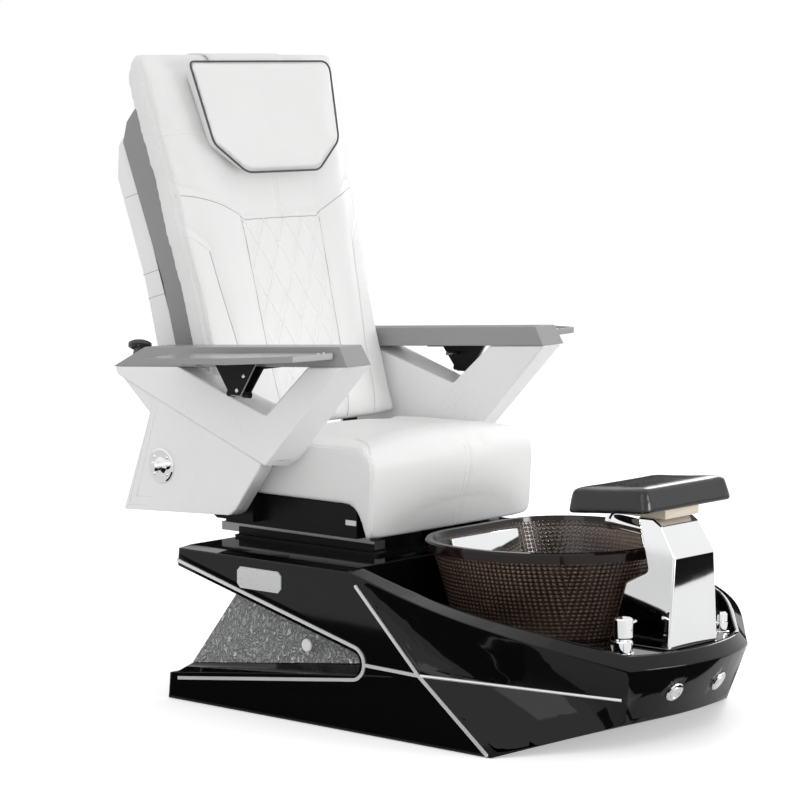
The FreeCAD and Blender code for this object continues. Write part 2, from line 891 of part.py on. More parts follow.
def make_trim(side, hull):
    """The bright strips of one side: the loop round the notch and the two crossing strips."""
    width = num(dims.trim_width)
    depth = num(dims.trim_proud)
    reach = num(dims.heel_low_station) - 8
    margin = num(dims.trim_margin)
    outer = notch_face(reach, margin + width)
    inner = notch_face(reach + 60, margin)
    band = outer.cut(inner).extrude(Vector(-depth, 0, 0))
    corner = hull_corners(RIGHT)
    cross = Vector(0, num(dims.cross_station) + width / 2, num(dims.cross_height))
    nose = Vector(0, num(dims.notch_station - dims.notch_radius - dims.trim_margin) - width / 2,
                  num(dims.notch_height))
    top = vec(0, dims.trim_top_station, dims.trim_top_height)
    foot = vec(0, dims.fold_foot_station + dims.trim_width, 6)
    shape = band
    for start, end in ((nose, cross), (top, cross), (cross, foot)):
        shape = shape.fuse(strip_segment(start, end, width, depth))
    shape.translate(Vector(-num(dims.base_half_width), 0, 0))
    begin = corner["cross"]
    finish = begin + (corner["crease_end"] - begin) * 0.97
    run = finish - begin
    bar = Part.makeCylinder(width / 2, run.Length, begin, run)
    shape = shape.fuse(bar).removeSplitter()
    shape = shape.cut(hull)
    if len(shape.Solids) > 1:
        shape = max(shape.Solids, key=lambda piece: piece.Volume)
    if side == LEFT:
        shape = shape.mirror(Vector(0, 0, 0), Vector(1, 0, 0))
    return shape


def build_base():
    base = keep(make_base_shell(), "base_shell")
    hull = base.Shape
    for name, side in SIDES.items():
        keep(solid("trim_" + name, make_trim(side, hull)), "trim_" + name)
    badge = side_plate("badge_plate", RIGHT, badge_outline(), dims.base_half_width, dims.badge_thickness)
    keep(badge, "badge_plate")
    for name, side in SIDES.items():
        keep(solid("hammered_panel_" + name, make_hammered_panel(side)), "hammered_panel_" + name)


def badge_outline():
    """A plate with nipped corners, level along the overhang."""
    half_length = dims.badge_length / 2
    half_width = dims.badge_width / 2
    notch = dims.badge_notch
    around = [(-1, -1, False), (1, -1, True), (1, 1, False), (-1, 1, True)]
    corners = []
    for along, up, outer_first in around:
        ends = [(half_length, half_width - notch), (half_length - notch, half_width)]
        if outer_first:
            ends.reverse()
        for run, rise in ends:
            corners.append((dims.badge_station + along * run, dims.badge_height + up * rise))
    return corners


def make_hammered_panel(side):
    """The grey panel on the notch's back wall, with a round hole for its knob."""
    margin = num(dims.panel_margin)
    face = notch_face(num(dims.tail_foot_station), -margin).cut(heel_face(num(dims.tail_foot_station) + 20))
    thickness = num(dims.panel_thickness)
    shape = face.extrude(Vector(-thickness, 0, 0))
    shape = max(shape.Solids, key=lambda piece: piece.Volume)
    shape.translate(Vector(-(num(dims.base_half_width) - num(dims.notch_depth)), 0, 0))
    hole = Part.makeCylinder(num(dims.knob_stem_radius + dims.running_gap), 80,
                             vec(-dims.base_half_width - 10, dims.knob_station, dims.knob_height),
                             Vector(1, 0, 0))
    shape = shape.cut(hole).cut(make_sill(num(dims.heel_low_station), margin))
    if side == LEFT:
        shape = shape.mirror(Vector(0, 0, 0), Vector(1, 0, 0))
    return shape



# Steel chassis and levelling feet inside the base

def build_chassis():
    half = dims.chassis_half_width
    bar = dims.chassis_bar
    front = dims.chassis_front_station
    length = dims.chassis_back_station - front
    lift = dims.chassis_lift
    bars = []
    for name, x in (("right", -half), ("left", half - bar)):
        bars.append(box("chassis_rail_" + name, x, front, lift, bar, length, bar))
    for index, station in enumerate((front, dims.chassis_back_station - bar)):
        bars.append(box("chassis_cross_" + str(index), -half, station, lift, 2 * half, bar, bar))
    for name, side in SIDES.items():
        x = side * (half - bar / 2) - bar / 2
        height = dims.deck_height - dims.floor_skin - lift - bar
        bars.append(box("chassis_post_" + name, x, -dims.chassis_bar, lift + bar, bar, bar, height))
    corners = {"front_right": (RIGHT, front + bar / 2), "front_left": (LEFT, front + bar / 2),
               "back_right": (RIGHT, dims.chassis_back_station - bar / 2),
               "back_left": (LEFT, dims.chassis_back_station - bar / 2)}
    disc = dims.foot_disc_height
    screw = dims.foot_screw_radius
    profile = [(0, 0), (dims.foot_radius, 0), (dims.foot_radius, disc / 2), (screw + 4, disc), (screw, disc),
               (screw, lift + 5), (0, lift + 5)]
    for name, (side, station) in corners.items():
        bars.append(turned("levelling_foot_" + name, profile, side * (half - bar / 2), station, 0))
    keep(fuse("chassis", bars), "chassis")


# Foot basin with rim, drain and whirlpool jet

def basin_share(height):
    return (height - num(dims.well_floor_height)) / (num(dims.basin_top) - num(dims.well_floor_height))


def basin_wire(height, grow=0.0):
    """The basin's outside outline at a height, drawn in evenly below its lip; grow moves it outward."""
    inset = num(dims.basin_rake) * (1 - basin_share(height)) - grow
    front, middle, back = [
        (num(half), num(station), num(corner)) for half, station, corner in (
            (dims.basin_half_front, dims.basin_front_station, dims.basin_front_corner),
            (dims.basin_half_middle, dims.basin_middle_station, dims.basin_middle_corner),
            (dims.basin_half_back, dims.basin_back_station, dims.basin_back_corner))]
    right = [(-half, station, corner) for half, station, corner in (back, middle, front)]
    turns = right + [front, middle, back]
    points = drawn_in([(half, station) for half, station, corner in turns], inset)
    return rounded(points, [corner - inset for half, station, corner in turns], height)


def basin_solid(low, high, grow):
    return Part.makeLoft([basin_wire(num(low), grow), basin_wire(num(high), grow)], True, True)


def neck_height():
    """Height of the pump's axis: its flange stays clear of the deck."""
    return dims.deck_height - dims.floor_skin - dims.pump_radius - dims.pump_flange - dims.pump_clearance


def neck_station():
    """Where the pump's neck starts, inside the basin's rear wall."""
    return dims.basin_back_station - dims.basin_rake - 2 * dims.basin_wall


def jet_span():
    """Lower and upper edge of the jet cover: from just under the pump's neck to just under the basin's lip."""
    return neck_height() - dims.jet_sill, dims.basin_top - dims.jet_brow


def make_basin():
    low = num(dims.well_floor_height)
    top = num(dims.basin_top)
    wall = num(dims.basin_wall)
    shape = basin_solid(low, top, 0).cut(basin_solid(low + wall, top + 20, -wall))
    drain = Part.makeCylinder(num(dims.drain_radius + dims.side_gap), 40,
                              vec(0, dims.drain_station, dims.well_floor_height - 5))
    neck = Part.makeCylinder(num(dims.jet_neck_radius + dims.side_gap), 2 * num(dims.basin_rake),
                             vec(0, neck_station(), neck_height()), Vector(0, 1, 0))
    return shape.cut(drain).cut(neck)


def make_basin_rim():
    """The dark rolled lip that caps the wall and hangs outside it."""
    top = num(dims.basin_top)
    skirt = num(dims.rim_skirt)
    height = num(dims.rim_height)
    wall = num(dims.basin_wall)
    over = num(dims.rim_overhang)
    gap = num(dims.rest_gap)
    low_wire = basin_wire(top - skirt, over + 2)
    mid_wire = basin_wire(top + height - 4, over - 2)
    top_wire = basin_wire(top + height, over - 6)
    shape = Part.makeLoft([low_wire, mid_wire], True, True).fuse(Part.makeLoft([mid_wire, top_wire], True, True))
    inner = basin_solid(top - skirt - 1, top + height + 1, -wall)
    seat = basin_solid(top - skirt - 1, top, gap)
    return shape.cut(inner).cut(seat).removeSplitter()


def inner_back_wall(height):
    """Station of the basin's inside back wall at a height."""
    share = dims.basin_rake / (dims.basin_top - dims.well_floor_height)
    return dims.basin_back_station - dims.basin_wall - share * (dims.basin_top - height)


def build_basin():
    keep(solid("basin", make_basin()), "basin")
    keep(solid("basin_rim", make_basin_rim()), "basin_rim")
    gap = dims.rest_gap
    low, high = jet_span()
    depth = dims.jet_depth
    profile = [(inner_back_wall(low) - gap, low), (inner_back_wall(high) - gap, high),
               (inner_back_wall(high) - depth * 0.8, high), (inner_back_wall(high) - depth, high - 12),
               (inner_back_wall(low) - depth * 0.55, low)]
    block = plate("jet_block", "YZ_Plane", profile, -dims.jet_half_width, 2 * dims.jet_half_width)
    inside = solid("basin_inside", basin_solid(dims.well_floor_height, dims.basin_top, -(num(dims.basin_wall + gap))))
    cover = doc.addObject("Part::MultiCommon", "jet_cover")
    cover.Shapes = [block, inside]
    doc.recompute()
    keep(cover, "jet_cover")
    keep(make_pump(), "jet_pump")
    stem = dims.drain_radius
    tail = dims.drain_tail_radius
    nut = dims.drain_nut_radius
    flange = dims.drain_flange_radius
    floor = dims.well_floor_height + dims.basin_wall
    under = dims.well_floor_height - dims.floor_skin
    mouth = stem - dims.basin_wall
    crest = floor + dims.drain_flange_height
    profile = [(0, floor - dims.drain_length), (tail, floor - dims.drain_length),
               (tail, under - dims.drain_nut_height), (nut, under - dims.drain_nut_height), (nut, under),
               (stem, under), (stem, floor), (flange, floor), (flange, floor + dims.drain_flange_height / 2),
               (flange - dims.drain_flange_height, crest), (mouth, crest), (mouth, floor - dims.basin_wall),
               (0, floor - dims.basin_wall)]
    keep(turned("drain_fitting", profile, 0, dims.drain_station, 0), "drain_fitting")


def make_pump():
    """The jet pump behind the well wall; its neck runs through both walls and ends flush inside the basin."""
    wall = num(dims.well_back_station + dims.well_wall)
    height = neck_height()
    radius = num(dims.pump_radius)
    start = vec(0, neck_station(), height)
    back = Vector(0, 1, 0)
    neck = Part.makeCylinder(num(dims.jet_neck_radius), wall - start.y, start, back)
    body = Part.makeCylinder(radius, num(dims.pump_length), vec(0, wall, height), back)
    flange = Part.makeCylinder(radius + num(dims.pump_flange), num(dims.pump_flange), vec(0, wall, height), back)
    shape = body.fuse([neck, flange])
    low, high = jet_span()
    front = dims.basin_front_station
    edge = [vec(0, inner_back_wall(low), low), vec(0, inner_back_wall(high), high), vec(0, front, high),
            vec(0, front, low)]
    trim = Part.Face(Part.makePolygon(edge + [edge[0]])).extrude(Vector(4 * radius, 0, 0))
    trim.translate(Vector(-2 * radius, 0, 0))
    return solid("jet_pump", shape.cut(trim))


# Chrome column, spout and footrest

def column_profile():
    return [(dims.column_front_station, dims.well_floor_height),
            (dims.column_front_station, dims.column_shoulder_height),
            (dims.column_brow_station, dims.column_crown_height - dims.column_brow_drop),
            (dims.column_crown_front_station, dims.column_crown_height),
            (dims.column_crown_back_station, dims.column_crown_height),
            (dims.column_waist_station, dims.column_waist_height),
            (dims.column_back_station, dims.column_back_height),
            (dims.column_foot_back_station, dims.well_floor_height)]


def build_column():
    half_foot = dims.column_half_foot
    half_top = dims.column_half_top
    side = plate("column_side", "YZ_Plane", column_profile(), -half_foot, 2 * half_foot)
    taper = [(-half_foot, dims.well_floor_height), (half_foot, dims.well_floor_height),
             (half_top, dims.column_crown_height), (-half_top, dims.column_crown_height)]
    depth = dims.column_foot_back_station - dims.column_front_station
    front = plate("column_front", "XZ_Plane", taper, -dims.column_foot_back_station, depth)
    column = doc.addObject("Part::MultiCommon", "column_taper")
    column.Shapes = [side, front]
    bore_depth = dims.post_depth + 4
    bore = cylinder("post_bore", dims.post_radius + dims.running_gap, bore_depth + 20, 0,
                    dims.post_station, dims.column_crown_height - bore_depth)
    column = keep(cut("chrome_column", column, bore), "chrome_column")
    doc.recompute()
    keep(make_spout(column.Shape), "spout")
    bearer = [(dims.bearer_front_station, dims.column_crown_height),
              (dims.bearer_back_station, dims.column_crown_height),
              (dims.bearer_back_station, footpad_seat(dims.bearer_back_station)),
              (dims.bearer_front_station, footpad_seat(dims.bearer_front_station))]
    board = plate("bearer_board", "YZ_Plane", bearer, -dims.bearer_half_width, 2 * dims.bearer_half_width)
    post = cylinder("bearer_post", dims.post_radius, dims.post_depth + 2, 0, dims.post_station,
                    dims.column_crown_height - dims.post_depth)
    keep(fuse("footrest_bearer", [board, post]), "footrest_bearer")
    keep(make_footpad(), "footrest_pad")


def footpad_seat(station):
    """Height of the sloping seat that the bearer gives the pad."""
    middle = dims.column_crown_height + dims.bearer_thickness
    return middle - math.tan(math.radians(num(dims.footpad_slope))) * (station - dims.footpad_station)


def make_spout(column):
    radius = num(dims.spout_radius)
    start = vec(0, dims.column_waist_station, dims.column_crown_height - dims.spout_drop)
    reach = num(dims.spout_reach)
    disc = num(dims.spout_disc_radius)
    rise = Vector(0, 1, 0.1).normalize()
    shape = Part.makeCylinder(radius, reach + 30, start, rise)
    end = start + rise * (reach + 30)
    shape = shape.fuse(Part.makeCylinder(disc, 8, end, rise))
    outlet = Part.makeCylinder(disc - 4, 3, end + rise * 5, rise)
    pieces = shape.cut(outlet).cut(column).Solids
    return solid("spout", max(pieces, key=lambda piece: piece.BoundBox.YMax))


def make_footpad():
    """A firm upholstered pad: square seat, drawn-in top and soft corners, sloping to the rear."""
    half = num(dims.footpad_half_width)
    length = num(dims.footpad_length) / 2
    height = num(dims.footpad_height)
    draft = num(dims.footpad_draft)
    corner = num(dims.footpad_corner)
    levels = [(0.0, 4, corner - 3), (0.1, 0, corner), (0.6, draft * 0.2, corner), (0.88, draft * 0.6, corner + 1),
              (1.0, draft + 5, corner + 4)]
    wires = []
    for share, inset, radius in levels:
        a = half - inset
        b = length - inset * 0.8
        wires.append(rounded([(-a, -b), (a, -b), (a, b), (-a, b)], radius, share * height))
    shape = Part.makeLoft(wires, True, True)
    shape.rotate(Vector(0, 0, 0), Vector(1, 0, 0), -num(dims.footpad_slope))
    shape.translate(vec(0, dims.footpad_station, footpad_seat(dims.footpad_station)))
    return solid("footrest_pad", shape)


# Tap, hand spray and air buttons

def build_tap():
    floor = dims.well_floor_height
    x = RIGHT * dims.tap_offset
    y = dims.tap_station
    base = dims.tap_base_height
    profile = [(0, 0), (dims.tap_flange_radius, 0), (dims.tap_flange_radius, dims.tap_flange_height),
               (dims.tap_base_radius, dims.tap_flange_height), (dims.tap_base_radius, base - 2),
               (dims.tap_base_radius - 2, base), (0, base)]
    keep(turned("tap_base", profile, x, y, floor), "tap_base")
    stem_height = dims.tap_ball_rise - base
    neck = cylinder("tap_stem", dims.tap_neck_radius, stem_height, x, y, floor + base)
    turns = [math.radians(step * 30) for step in range(7)]
    round_profile = [(dims.tap_ball_radius * math.sin(turn), dims.tap_ball_rise - dims.tap_ball_radius * math.cos(turn))
                     for turn in turns[1:-1]]
    round_profile = ([(0, dims.tap_ball_rise - dims.tap_ball_radius)] + round_profile
                     + [(0, dims.tap_ball_rise + dims.tap_ball_radius)])
    ball = turned("tap_ball", round_profile, x, y, floor)
    cap = dims.tap_cap_radius
    axle_turn = Rotation(Vector(1, 0, 0), -90)
    axle = cylinder("tap_axle", dims.tap_axle_radius, 2 * cap - 2, x, y - cap + 1, floor + dims.tap_ball_rise,
                    axle_turn)
    keep(fuse("tap_neck", [neck, ball, axle]), "tap_neck")
    rise = dims.tap_cap_rise
    top = rise + dims.tap_cap_height
    bore = dims.tap_ball_radius + dims.running_gap
    bore_top = dims.tap_ball_rise + dims.tap_ball_radius + dims.rest_gap
    profile = [(bore, rise), (cap - 2, rise), (cap, rise + 3), (cap, top - 3), (cap - 3, top), (0, top),
               (0, bore_top), (bore, bore_top)]
    shell = turned("tap_cap", profile, x, y, floor)
    pin = cylinder("tap_pin", dims.tap_pin_radius, dims.tap_pin_length + 4, x + cap - 4, y,
                   floor + dims.tap_ball_rise + 8, Rotation(Vector(0, 1, 0), 78))
    eye = cylinder("tap_eye", dims.tap_axle_radius + dims.running_gap, 2 * cap + 4, x, y - cap - 2,
                   floor + dims.tap_ball_rise, axle_turn)
    keep(cut("tap_lever", fuse("tap_handle", [shell, pin]), eye), "tap_lever")


def build_spray():
    floor = dims.well_floor_height
    x = LEFT * dims.tap_offset
    y = dims.spray_station
    socket = dims.spray_socket_radius
    stem = dims.spray_stem_radius
    height = dims.spray_socket_height
    bore = stem + dims.running_gap
    profile = [(0, 0), (socket + 5, 0), (socket + 5, 3), (socket, 4), (socket, height), (bore, height),
               (bore, 3), (0, 3)]
    keep(turned("spray_socket", profile, x, y, floor), "spray_socket")
    head = dims.spray_head_radius
    top = height + dims.spray_head_height
    profile = [(0, 4), (stem, 4), (stem, height), (head - 3, height), (head, height + 3), (head, top - 5),
               (head - 5, top), (0, top)]
    keep(turned("hand_spray", profile, x, y, floor), "hand_spray")


def build_buttons():
    bezel = dims.button_bezel_radius
    proud = dims.button_bezel_proud
    sleeve = dims.button_sleeve_radius
    bore = dims.button_radius + dims.running_gap
    depth = dims.button_sleeve_depth
    cap = dims.button_radius
    for name, side in SIDES.items():
        place = button_place(side)
        profile = [(bore, 0 - depth), (sleeve, 0 - depth), (sleeve, 0), (bezel, 0), (bezel, proud - 2),
                   (bezel - 2, proud), (bore + 1, proud), (bore, proud - 1)]
        ring = turned("button_bezel_" + name, profile, 0, 0, 0)
        ring.Placement = place
        keep(ring, "button_bezel_" + name)
        length = dims.button_length
        profile = [(0, proud - length), (cap, proud - length), (cap, proud - 0.5), (cap - 1.5, proud + 1),
                   (0, proud + 1)]
        button = turned("air_button_" + name, profile, 0, 0, 0)
        button.Placement = place
        keep(button, "air_button_" + name)


def build_knobs():
    stem = dims.knob_stem_radius
    radius = dims.knob_radius
    thickness = dims.panel_thickness
    for name, side in SIDES.items():
        back = dims.knob_length - dims.knob_disc
        profile = [(0, 0 - thickness), (stem, 0 - thickness), (stem, back), (radius - 1, back), (radius, back + 1),
                   (radius, dims.knob_length - 2), (radius - 2, dims.knob_length), (0, dims.knob_length)]
        wall = dims.base_half_width - dims.notch_depth + thickness
        turn = Rotation(Vector(0, 1, 0), side * 90)
        knob = turned("panel_knob_" + name, profile, side * wall, dims.knob_station, dims.knob_height, turn)
        keep(knob, "panel_knob_" + name)



# Slide under the seat

def build_slide():
    """Fixed plate and rails on the deck, and the screw drive between them."""
    deck = dims.deck_height
    half = dims.slide_plate_half_width
    thick = dims.slide_plate_thickness
    front = dims.slide_plate_front_station
    plate_length = dims.slide_plate_back_station - front
    parts = [box("slide_sheet", -half, front, deck, 2 * half, plate_length, thick)]
    base = deck + thick
    wide = dims.rail_half_width
    wall = dims.rail_wall
    top = base + dims.rail_height
    length = dims.rail_back_station - dims.rail_front_station
    for name, side in SIDES.items():
        x = side * dims.rail_offset
        profile = [(x - wide, base), (x + wide, base), (x + wide, top), (x + wide - wall, top),
                   (x + wide - wall, base + wall), (x - wide + wall, base + wall), (x - wide + wall, top),
                   (x - wide, top)]
        parts.append(plate("slide_rail_" + name, "XZ_Plane", profile, -dims.rail_back_station, length))
    keep(fuse("slide_base", parts), "slide_base")
    motor_half = dims.drive_motor_half_width
    motor_start = dims.screw_front_station - 44
    motor_height = dims.seat_frame_low - base - 3
    motor = box("drive_motor", -motor_half, motor_start, base, 2 * motor_half, 44, motor_height)
    block = box("screw_end_block", -16, dims.screw_back_station, base, 32, 14, motor_height)
    screw_length = dims.screw_back_station - dims.screw_front_station + 4
    screw = cylinder("drive_screw", dims.screw_radius, screw_length, 0, dims.screw_front_station - 2,
                     dims.screw_height, Rotation(Vector(1, 0, 0), -90))
    keep(fuse("slide_drive", [motor, block, screw]), "slide_drive")


def build_runners():
    """The sliding half: two runners and the drive nut under the seat frame."""
    gap = dims.rest_gap
    base = dims.deck_height + dims.slide_plate_thickness + dims.rail_wall + gap
    half = dims.rail_half_width - dims.rail_wall - gap
    low = dims.seat_frame_low
    front = dims.rail_front_station
    profile = [(front, base), (dims.runner_back_station, base), (dims.runner_back_station, dims.runner_top),
               (dims.runner_foot_station, dims.runner_top), (dims.runner_foot_station, low),
               (dims.seat_frame_front_station, low), (dims.seat_frame_front_station, dims.runner_top),
               (front, dims.runner_top)]
    for name, side in SIDES.items():
        runner = side_plate("runner_" + name, side, profile, dims.rail_offset - half, 2 * half)
        keep(runner, "runner_" + name)
    nut_low = dims.screw_height - dims.screw_radius - 4
    start = dims.drive_nut_station
    width = dims.drive_nut_half_width
    nut = plate("drive_nut", "XZ_Plane", [(-width, nut_low), (width, nut_low), (width, low), (-width, low)],
                -(start + dims.drive_nut_length), dims.drive_nut_length,
                [(0, dims.screw_height, dims.screw_radius + dims.running_gap)])
    keep(nut, "drive_nut")


# Seat frame, arm carriers and recline shaft

def build_seat_frame():
    half = dims.seat_frame_half_width
    wall = dims.seat_frame_wall
    front = dims.seat_frame_front_station
    back = dims.seat_frame_back_station
    low = dims.seat_frame_low
    high = dims.seat_frame_high
    outer = box("seat_tray_outer", -half, front, low, 2 * half, back - front, high - low)
    inner = box("seat_tray_inner", wall - half, front + wall, low + wall, 2 * (half - wall),
                back - front - 2 * wall, high - low)
    tray = cut("seat_tray", outer, inner)
    ear_inner = dims.recline_half_length - 18
    station = dims.recline_station
    height = dims.recline_height
    reach = dims.recline_radius + 12
    ears = []
    for name, side in SIDES.items():
        profile = [(back - 60, high - 40), (back, high - 60), (station + reach, height - reach),
                   (station + reach, height + reach / 2), (station + reach / 2, height + reach),
                   (station - reach / 2, height + reach), (back - 30, high)]
        hole = [(station, height, dims.recline_radius + dims.running_gap)]
        ears.append(side_plate("seat_ear_" + name, side, profile, ear_inner, 10, hole))
    keep(fuse("seat_frame", [tray] + ears), "seat_frame")
    shaft = cylinder("recline_shaft", dims.recline_radius, 2 * dims.recline_half_length,
                     -dims.recline_half_length, station, height, Rotation(Vector(0, 1, 0), 90))
    keep(shaft, "recline_shaft")
    pivot_y = dims.pivot_station
    pivot_z = dims.pivot_height
    collar = dims.pivot_collar_radius
    outer_face = dims.arm_inner - 2
    inner_face = outer_face - dims.carrier_thickness
    for name, side in SIDES.items():
        profile = [(back - 110, low + 12), (back, low + 12), (pivot_y + collar, pivot_z - collar),
                   (pivot_y + collar, pivot_z + collar * 0.5), (pivot_y + collar * 0.5, pivot_z + collar),
                   (pivot_y - collar * 0.5, pivot_z + collar), (back - 10, high - 3), (back - 110, high - 3)]
        web = side_plate("carrier_web_" + name, side, profile, inner_face, dims.carrier_thickness)
        foot_points = [(back - 110, low + 12), (back, low + 12), (back, high - 3), (back - 110, high - 3)]
        foot = side_plate("carrier_foot_" + name, side, foot_points, half, inner_face - half)
        pin_length = dims.arm_plate_outer - inner_face - 2
        start = inner_face if side == LEFT else -(inner_face + pin_length)
        pin = cylinder("carrier_pin_" + name, dims.pivot_radius, pin_length, start, pivot_y, pivot_z,
                       Rotation(Vector(0, 1, 0), 90))
        keep(fuse("arm_carrier_" + name, [web, foot, pin]), "arm_carrier_" + name)


def seat_section(x, inset, share):
    """The cushion's side profile at x; share runs from the crown (0) to the side seam (1)."""
    setback = num(dims.seat_side_setback) * share
    drop = num(dims.seat_side_drop) * share
    low = num(dims.seat_flap_low) + inset
    front_low = num(dims.seat_flap_station) + inset
    back_low = num(dims.seat_flap_station) + num(dims.seat_flap_thickness) - inset
    base = num(dims.seat_frame_high) + 0.3 + inset * 0.5
    front = num(dims.seat_front_station) + setback + inset
    crest = num(dims.seat_crest) - drop - inset
    back = num(dims.seat_back_station) - inset
    nose = num(dims.seat_nose)
    points = [(back_low, low), (front_low, low), (front + num(dims.seat_flap_throat) - setback * 0.7,
                                               low + num(dims.seat_flap_rise)),
              (front, crest - nose), (front + nose * 0.9, crest), (back - 14, crest - 4), (back, crest - 24),
              (back, base), (back_low, base)]
    spots = [Vector(x, y, z) for y, z in points]
    bend = Vector(x, front + nose * 0.24, crest - nose * 0.24)
    edges = []
    for index, spot in enumerate(spots):
        after = spots[(index + 1) % len(spots)]
        if index == 3:
            edges.append(arc(spot, bend, after))
        else:
            edges.append(line(spot, after))
    return Part.Wire(edges)


def build_seat_cushion():
    half = num(dims.seat_half_width)
    seam = num(dims.seat_seam_inset)
    band = num(dims.seat_seam_band)
    right = [(-half, seam, 1.0), (-half + 4, seam * 0.35, 1.0), (-half + band, 0, 0.82), (-half * 0.55, 0, 0.22)]
    sections = right + [(0, 0, 0)] + [(-x, inset, share) for x, inset, share in reversed(right)]
    shape = Part.makeLoft([seat_section(x, inset, share) for x, inset, share in sections], True, True)
    keep(solid("seat_cushion", shape), "seat_cushion")


# Arms: moulded panel, cap, pivot cover, folding tray

def cap_low(station):
    """Height of the cap's underside at a station."""
    fall = (dims.cap_front_low - dims.cap_back_low) / (dims.cap_back_station - dims.cap_front_station)
    return dims.cap_front_low - fall * (station - dims.cap_front_station)


def arm_outlines():
    """Corners of the V beam and of the lower wing: (outer face, inner face), the inner ones bevelled."""
    front = dims.cap_front_station
    back = dims.cap_back_station
    beam = [(front + 12, cap_low(front + 12)), (dims.beam_knee_station, dims.beam_knee_height),
            (dims.beam_toe_station, dims.beam_toe_height), (back - dims.beam_tail_setback, dims.beam_tail_height),
            (back - dims.beam_end_setback, cap_low(back - dims.beam_end_setback)),
            (dims.vee_back_station, cap_low(dims.vee_back_station)), (dims.vee_crest_station, dims.vee_crest_height),
            (dims.vee_front_station, cap_low(dims.vee_front_station))]
    wing = [(dims.wing_top_station, dims.wing_top_height), (dims.wing_front_station, dims.wing_front_height),
            (dims.wing_foot_station, dims.wing_foot_height), (dims.wing_back_station, dims.wing_back_height),
            (dims.wing_waist_station, dims.wing_waist_height), (back - dims.beam_tail_setback, dims.beam_tail_height),
            (dims.wing_root_station, dims.wing_root_height)]
    beam_bevel = [(-14, 0), (-16, -5), (3, -8), (0, -7), (0, 0), (21, 0), (40, 15), (53, 0)]
    wing_bevel = [(39, -20), (35, -13), (36, -9), (-6, -4), (0, -6), (0, -7), (0, -10)]
    beam_inner = [(station + along, height + up) for (station, height), (along, up) in zip(beam, beam_bevel)]
    for index in (0, 4, 5, 7):
        station = beam_inner[index][0]
        beam_inner[index] = (station, cap_low(station))
    wing_inner = [(station + along, height + up) for (station, height), (along, up) in zip(wing, wing_bevel)]
    return beam, beam_inner, wing, wing_inner


def build_arm(name, side):
    beam_outer, beam_inner, plate_outer, plate_inner = arm_outlines()
    body = doc.addObject("PartDesign::Body", "arm_panel_" + name)
    pivot = (dims.pivot_station, dims.pivot_height, dims.pivot_radius + dims.running_gap)
    for tag, outer, inner, face in (("beam", beam_outer, beam_inner, dims.arm_outer),
                                    ("plate", plate_outer, plate_inner, dims.arm_plate_outer)):
        far = outline(body, tag + "_outer_" + name, "YZ_Plane", outer, side * face)
        near = outline(body, tag + "_inner_" + name, "YZ_Plane", inner, side * dims.arm_inner)
        loft = body.newObject("PartDesign::AdditiveLoft", tag + "_loft_" + name)
        loft.Profile = far
        loft.Sections = [near]
        loft.Ruled = True
        body.Tip = loft
        doc.recompute()
    bore = body.newObject("Sketcher::SketchObject", "pivot_bore_" + name)
    bore.AttachmentSupport = [(origin_plane(body, "YZ_Plane"), "")]
    bore.MapMode = "FlatFace"
    ring = bore.addGeometry(Part.Circle(Vector(num(pivot[0]), num(pivot[1]), 0), Vector(0, 0, 1), num(pivot[2])),
                            False)
    for kind, length in (("DistanceX", pivot[0]), ("DistanceY", pivot[1])):
        place = bore.addConstraint(Sketcher.Constraint(kind, -1, 1, ring, 3, num(length)))
        bind(bore, "Constraints[" + str(place) + "]", length)
    place = bore.addConstraint(Sketcher.Constraint("Radius", ring, num(pivot[2])))
    bind(bore, "Constraints[" + str(place) + "]", pivot[2])
    hole = body.newObject("PartDesign::Pocket", "pivot_hole_" + name)
    hole.Profile = bore
    hole.Type = 1
    hole.Midplane = True
    body.Tip = hole
    keep(body, "arm_panel_" + name)
    build_arm_cap(name, side)
    disc = dims.pivot_disc_radius
    thick = dims.pivot_disc_thickness
    knob = dims.pivot_knob_radius
    length = dims.pivot_knob_length
    profile = [(0, 0), (disc, 0), (disc, thick - 2), (disc - 3, thick), (knob + 8, thick), (knob, thick + 6),
               (knob, thick + length - 3), (knob - 3, thick + length), (0, thick + length)]
    cover = turned("pivot_cover_" + name, profile, side * dims.arm_plate_outer, dims.pivot_station,
                   dims.pivot_height, Rotation(Vector(0, 1, 0), side * 90))
    keep(cover, "pivot_cover_" + name)


def build_arm_cap(name, side):
    """The grey armrest: a bevelled bar on top of the panel, cut back at both ends."""
    low = dims.cap_inner
    width = dims.cap_outer - dims.cap_inner
    front = dims.cap_front_station
    back = dims.cap_back_station
    profile = [(front, cap_low(front)), (back, cap_low(back)),
               (dims.cap_back_top_station, cap_low(dims.cap_back_top_station) + dims.cap_thickness),
               (dims.cap_front_top_station, cap_low(dims.cap_front_top_station) + dims.cap_thickness)]
    bar = side_plate("cap_bar_" + name, side, profile, low, width)
    flank = dims.cap_flank
    bottom = dims.cap_back_low - 10
    top = dims.cap_front_low + dims.cap_thickness + 10
    section = [(side * low, bottom), (side * (low + width), bottom), (side * (low + width - flank), top),
               (side * (low + flank), top)]
    taper = plate("cap_taper_" + name, "XZ_Plane", section, -(back + 10), back - front + 20)
    cap = doc.addObject("Part::MultiCommon", "arm_cap_" + name)
    cap.Shapes = [bar, taper]
    keep(cap, "arm_cap_" + name)


def hinge_height():
    return cap_low(dims.hinge_station) - dims.hinge_drop


def tray_low(station):
    return cap_low(station) + dims.cap_thickness - dims.tray_drop - dims.tray_thickness


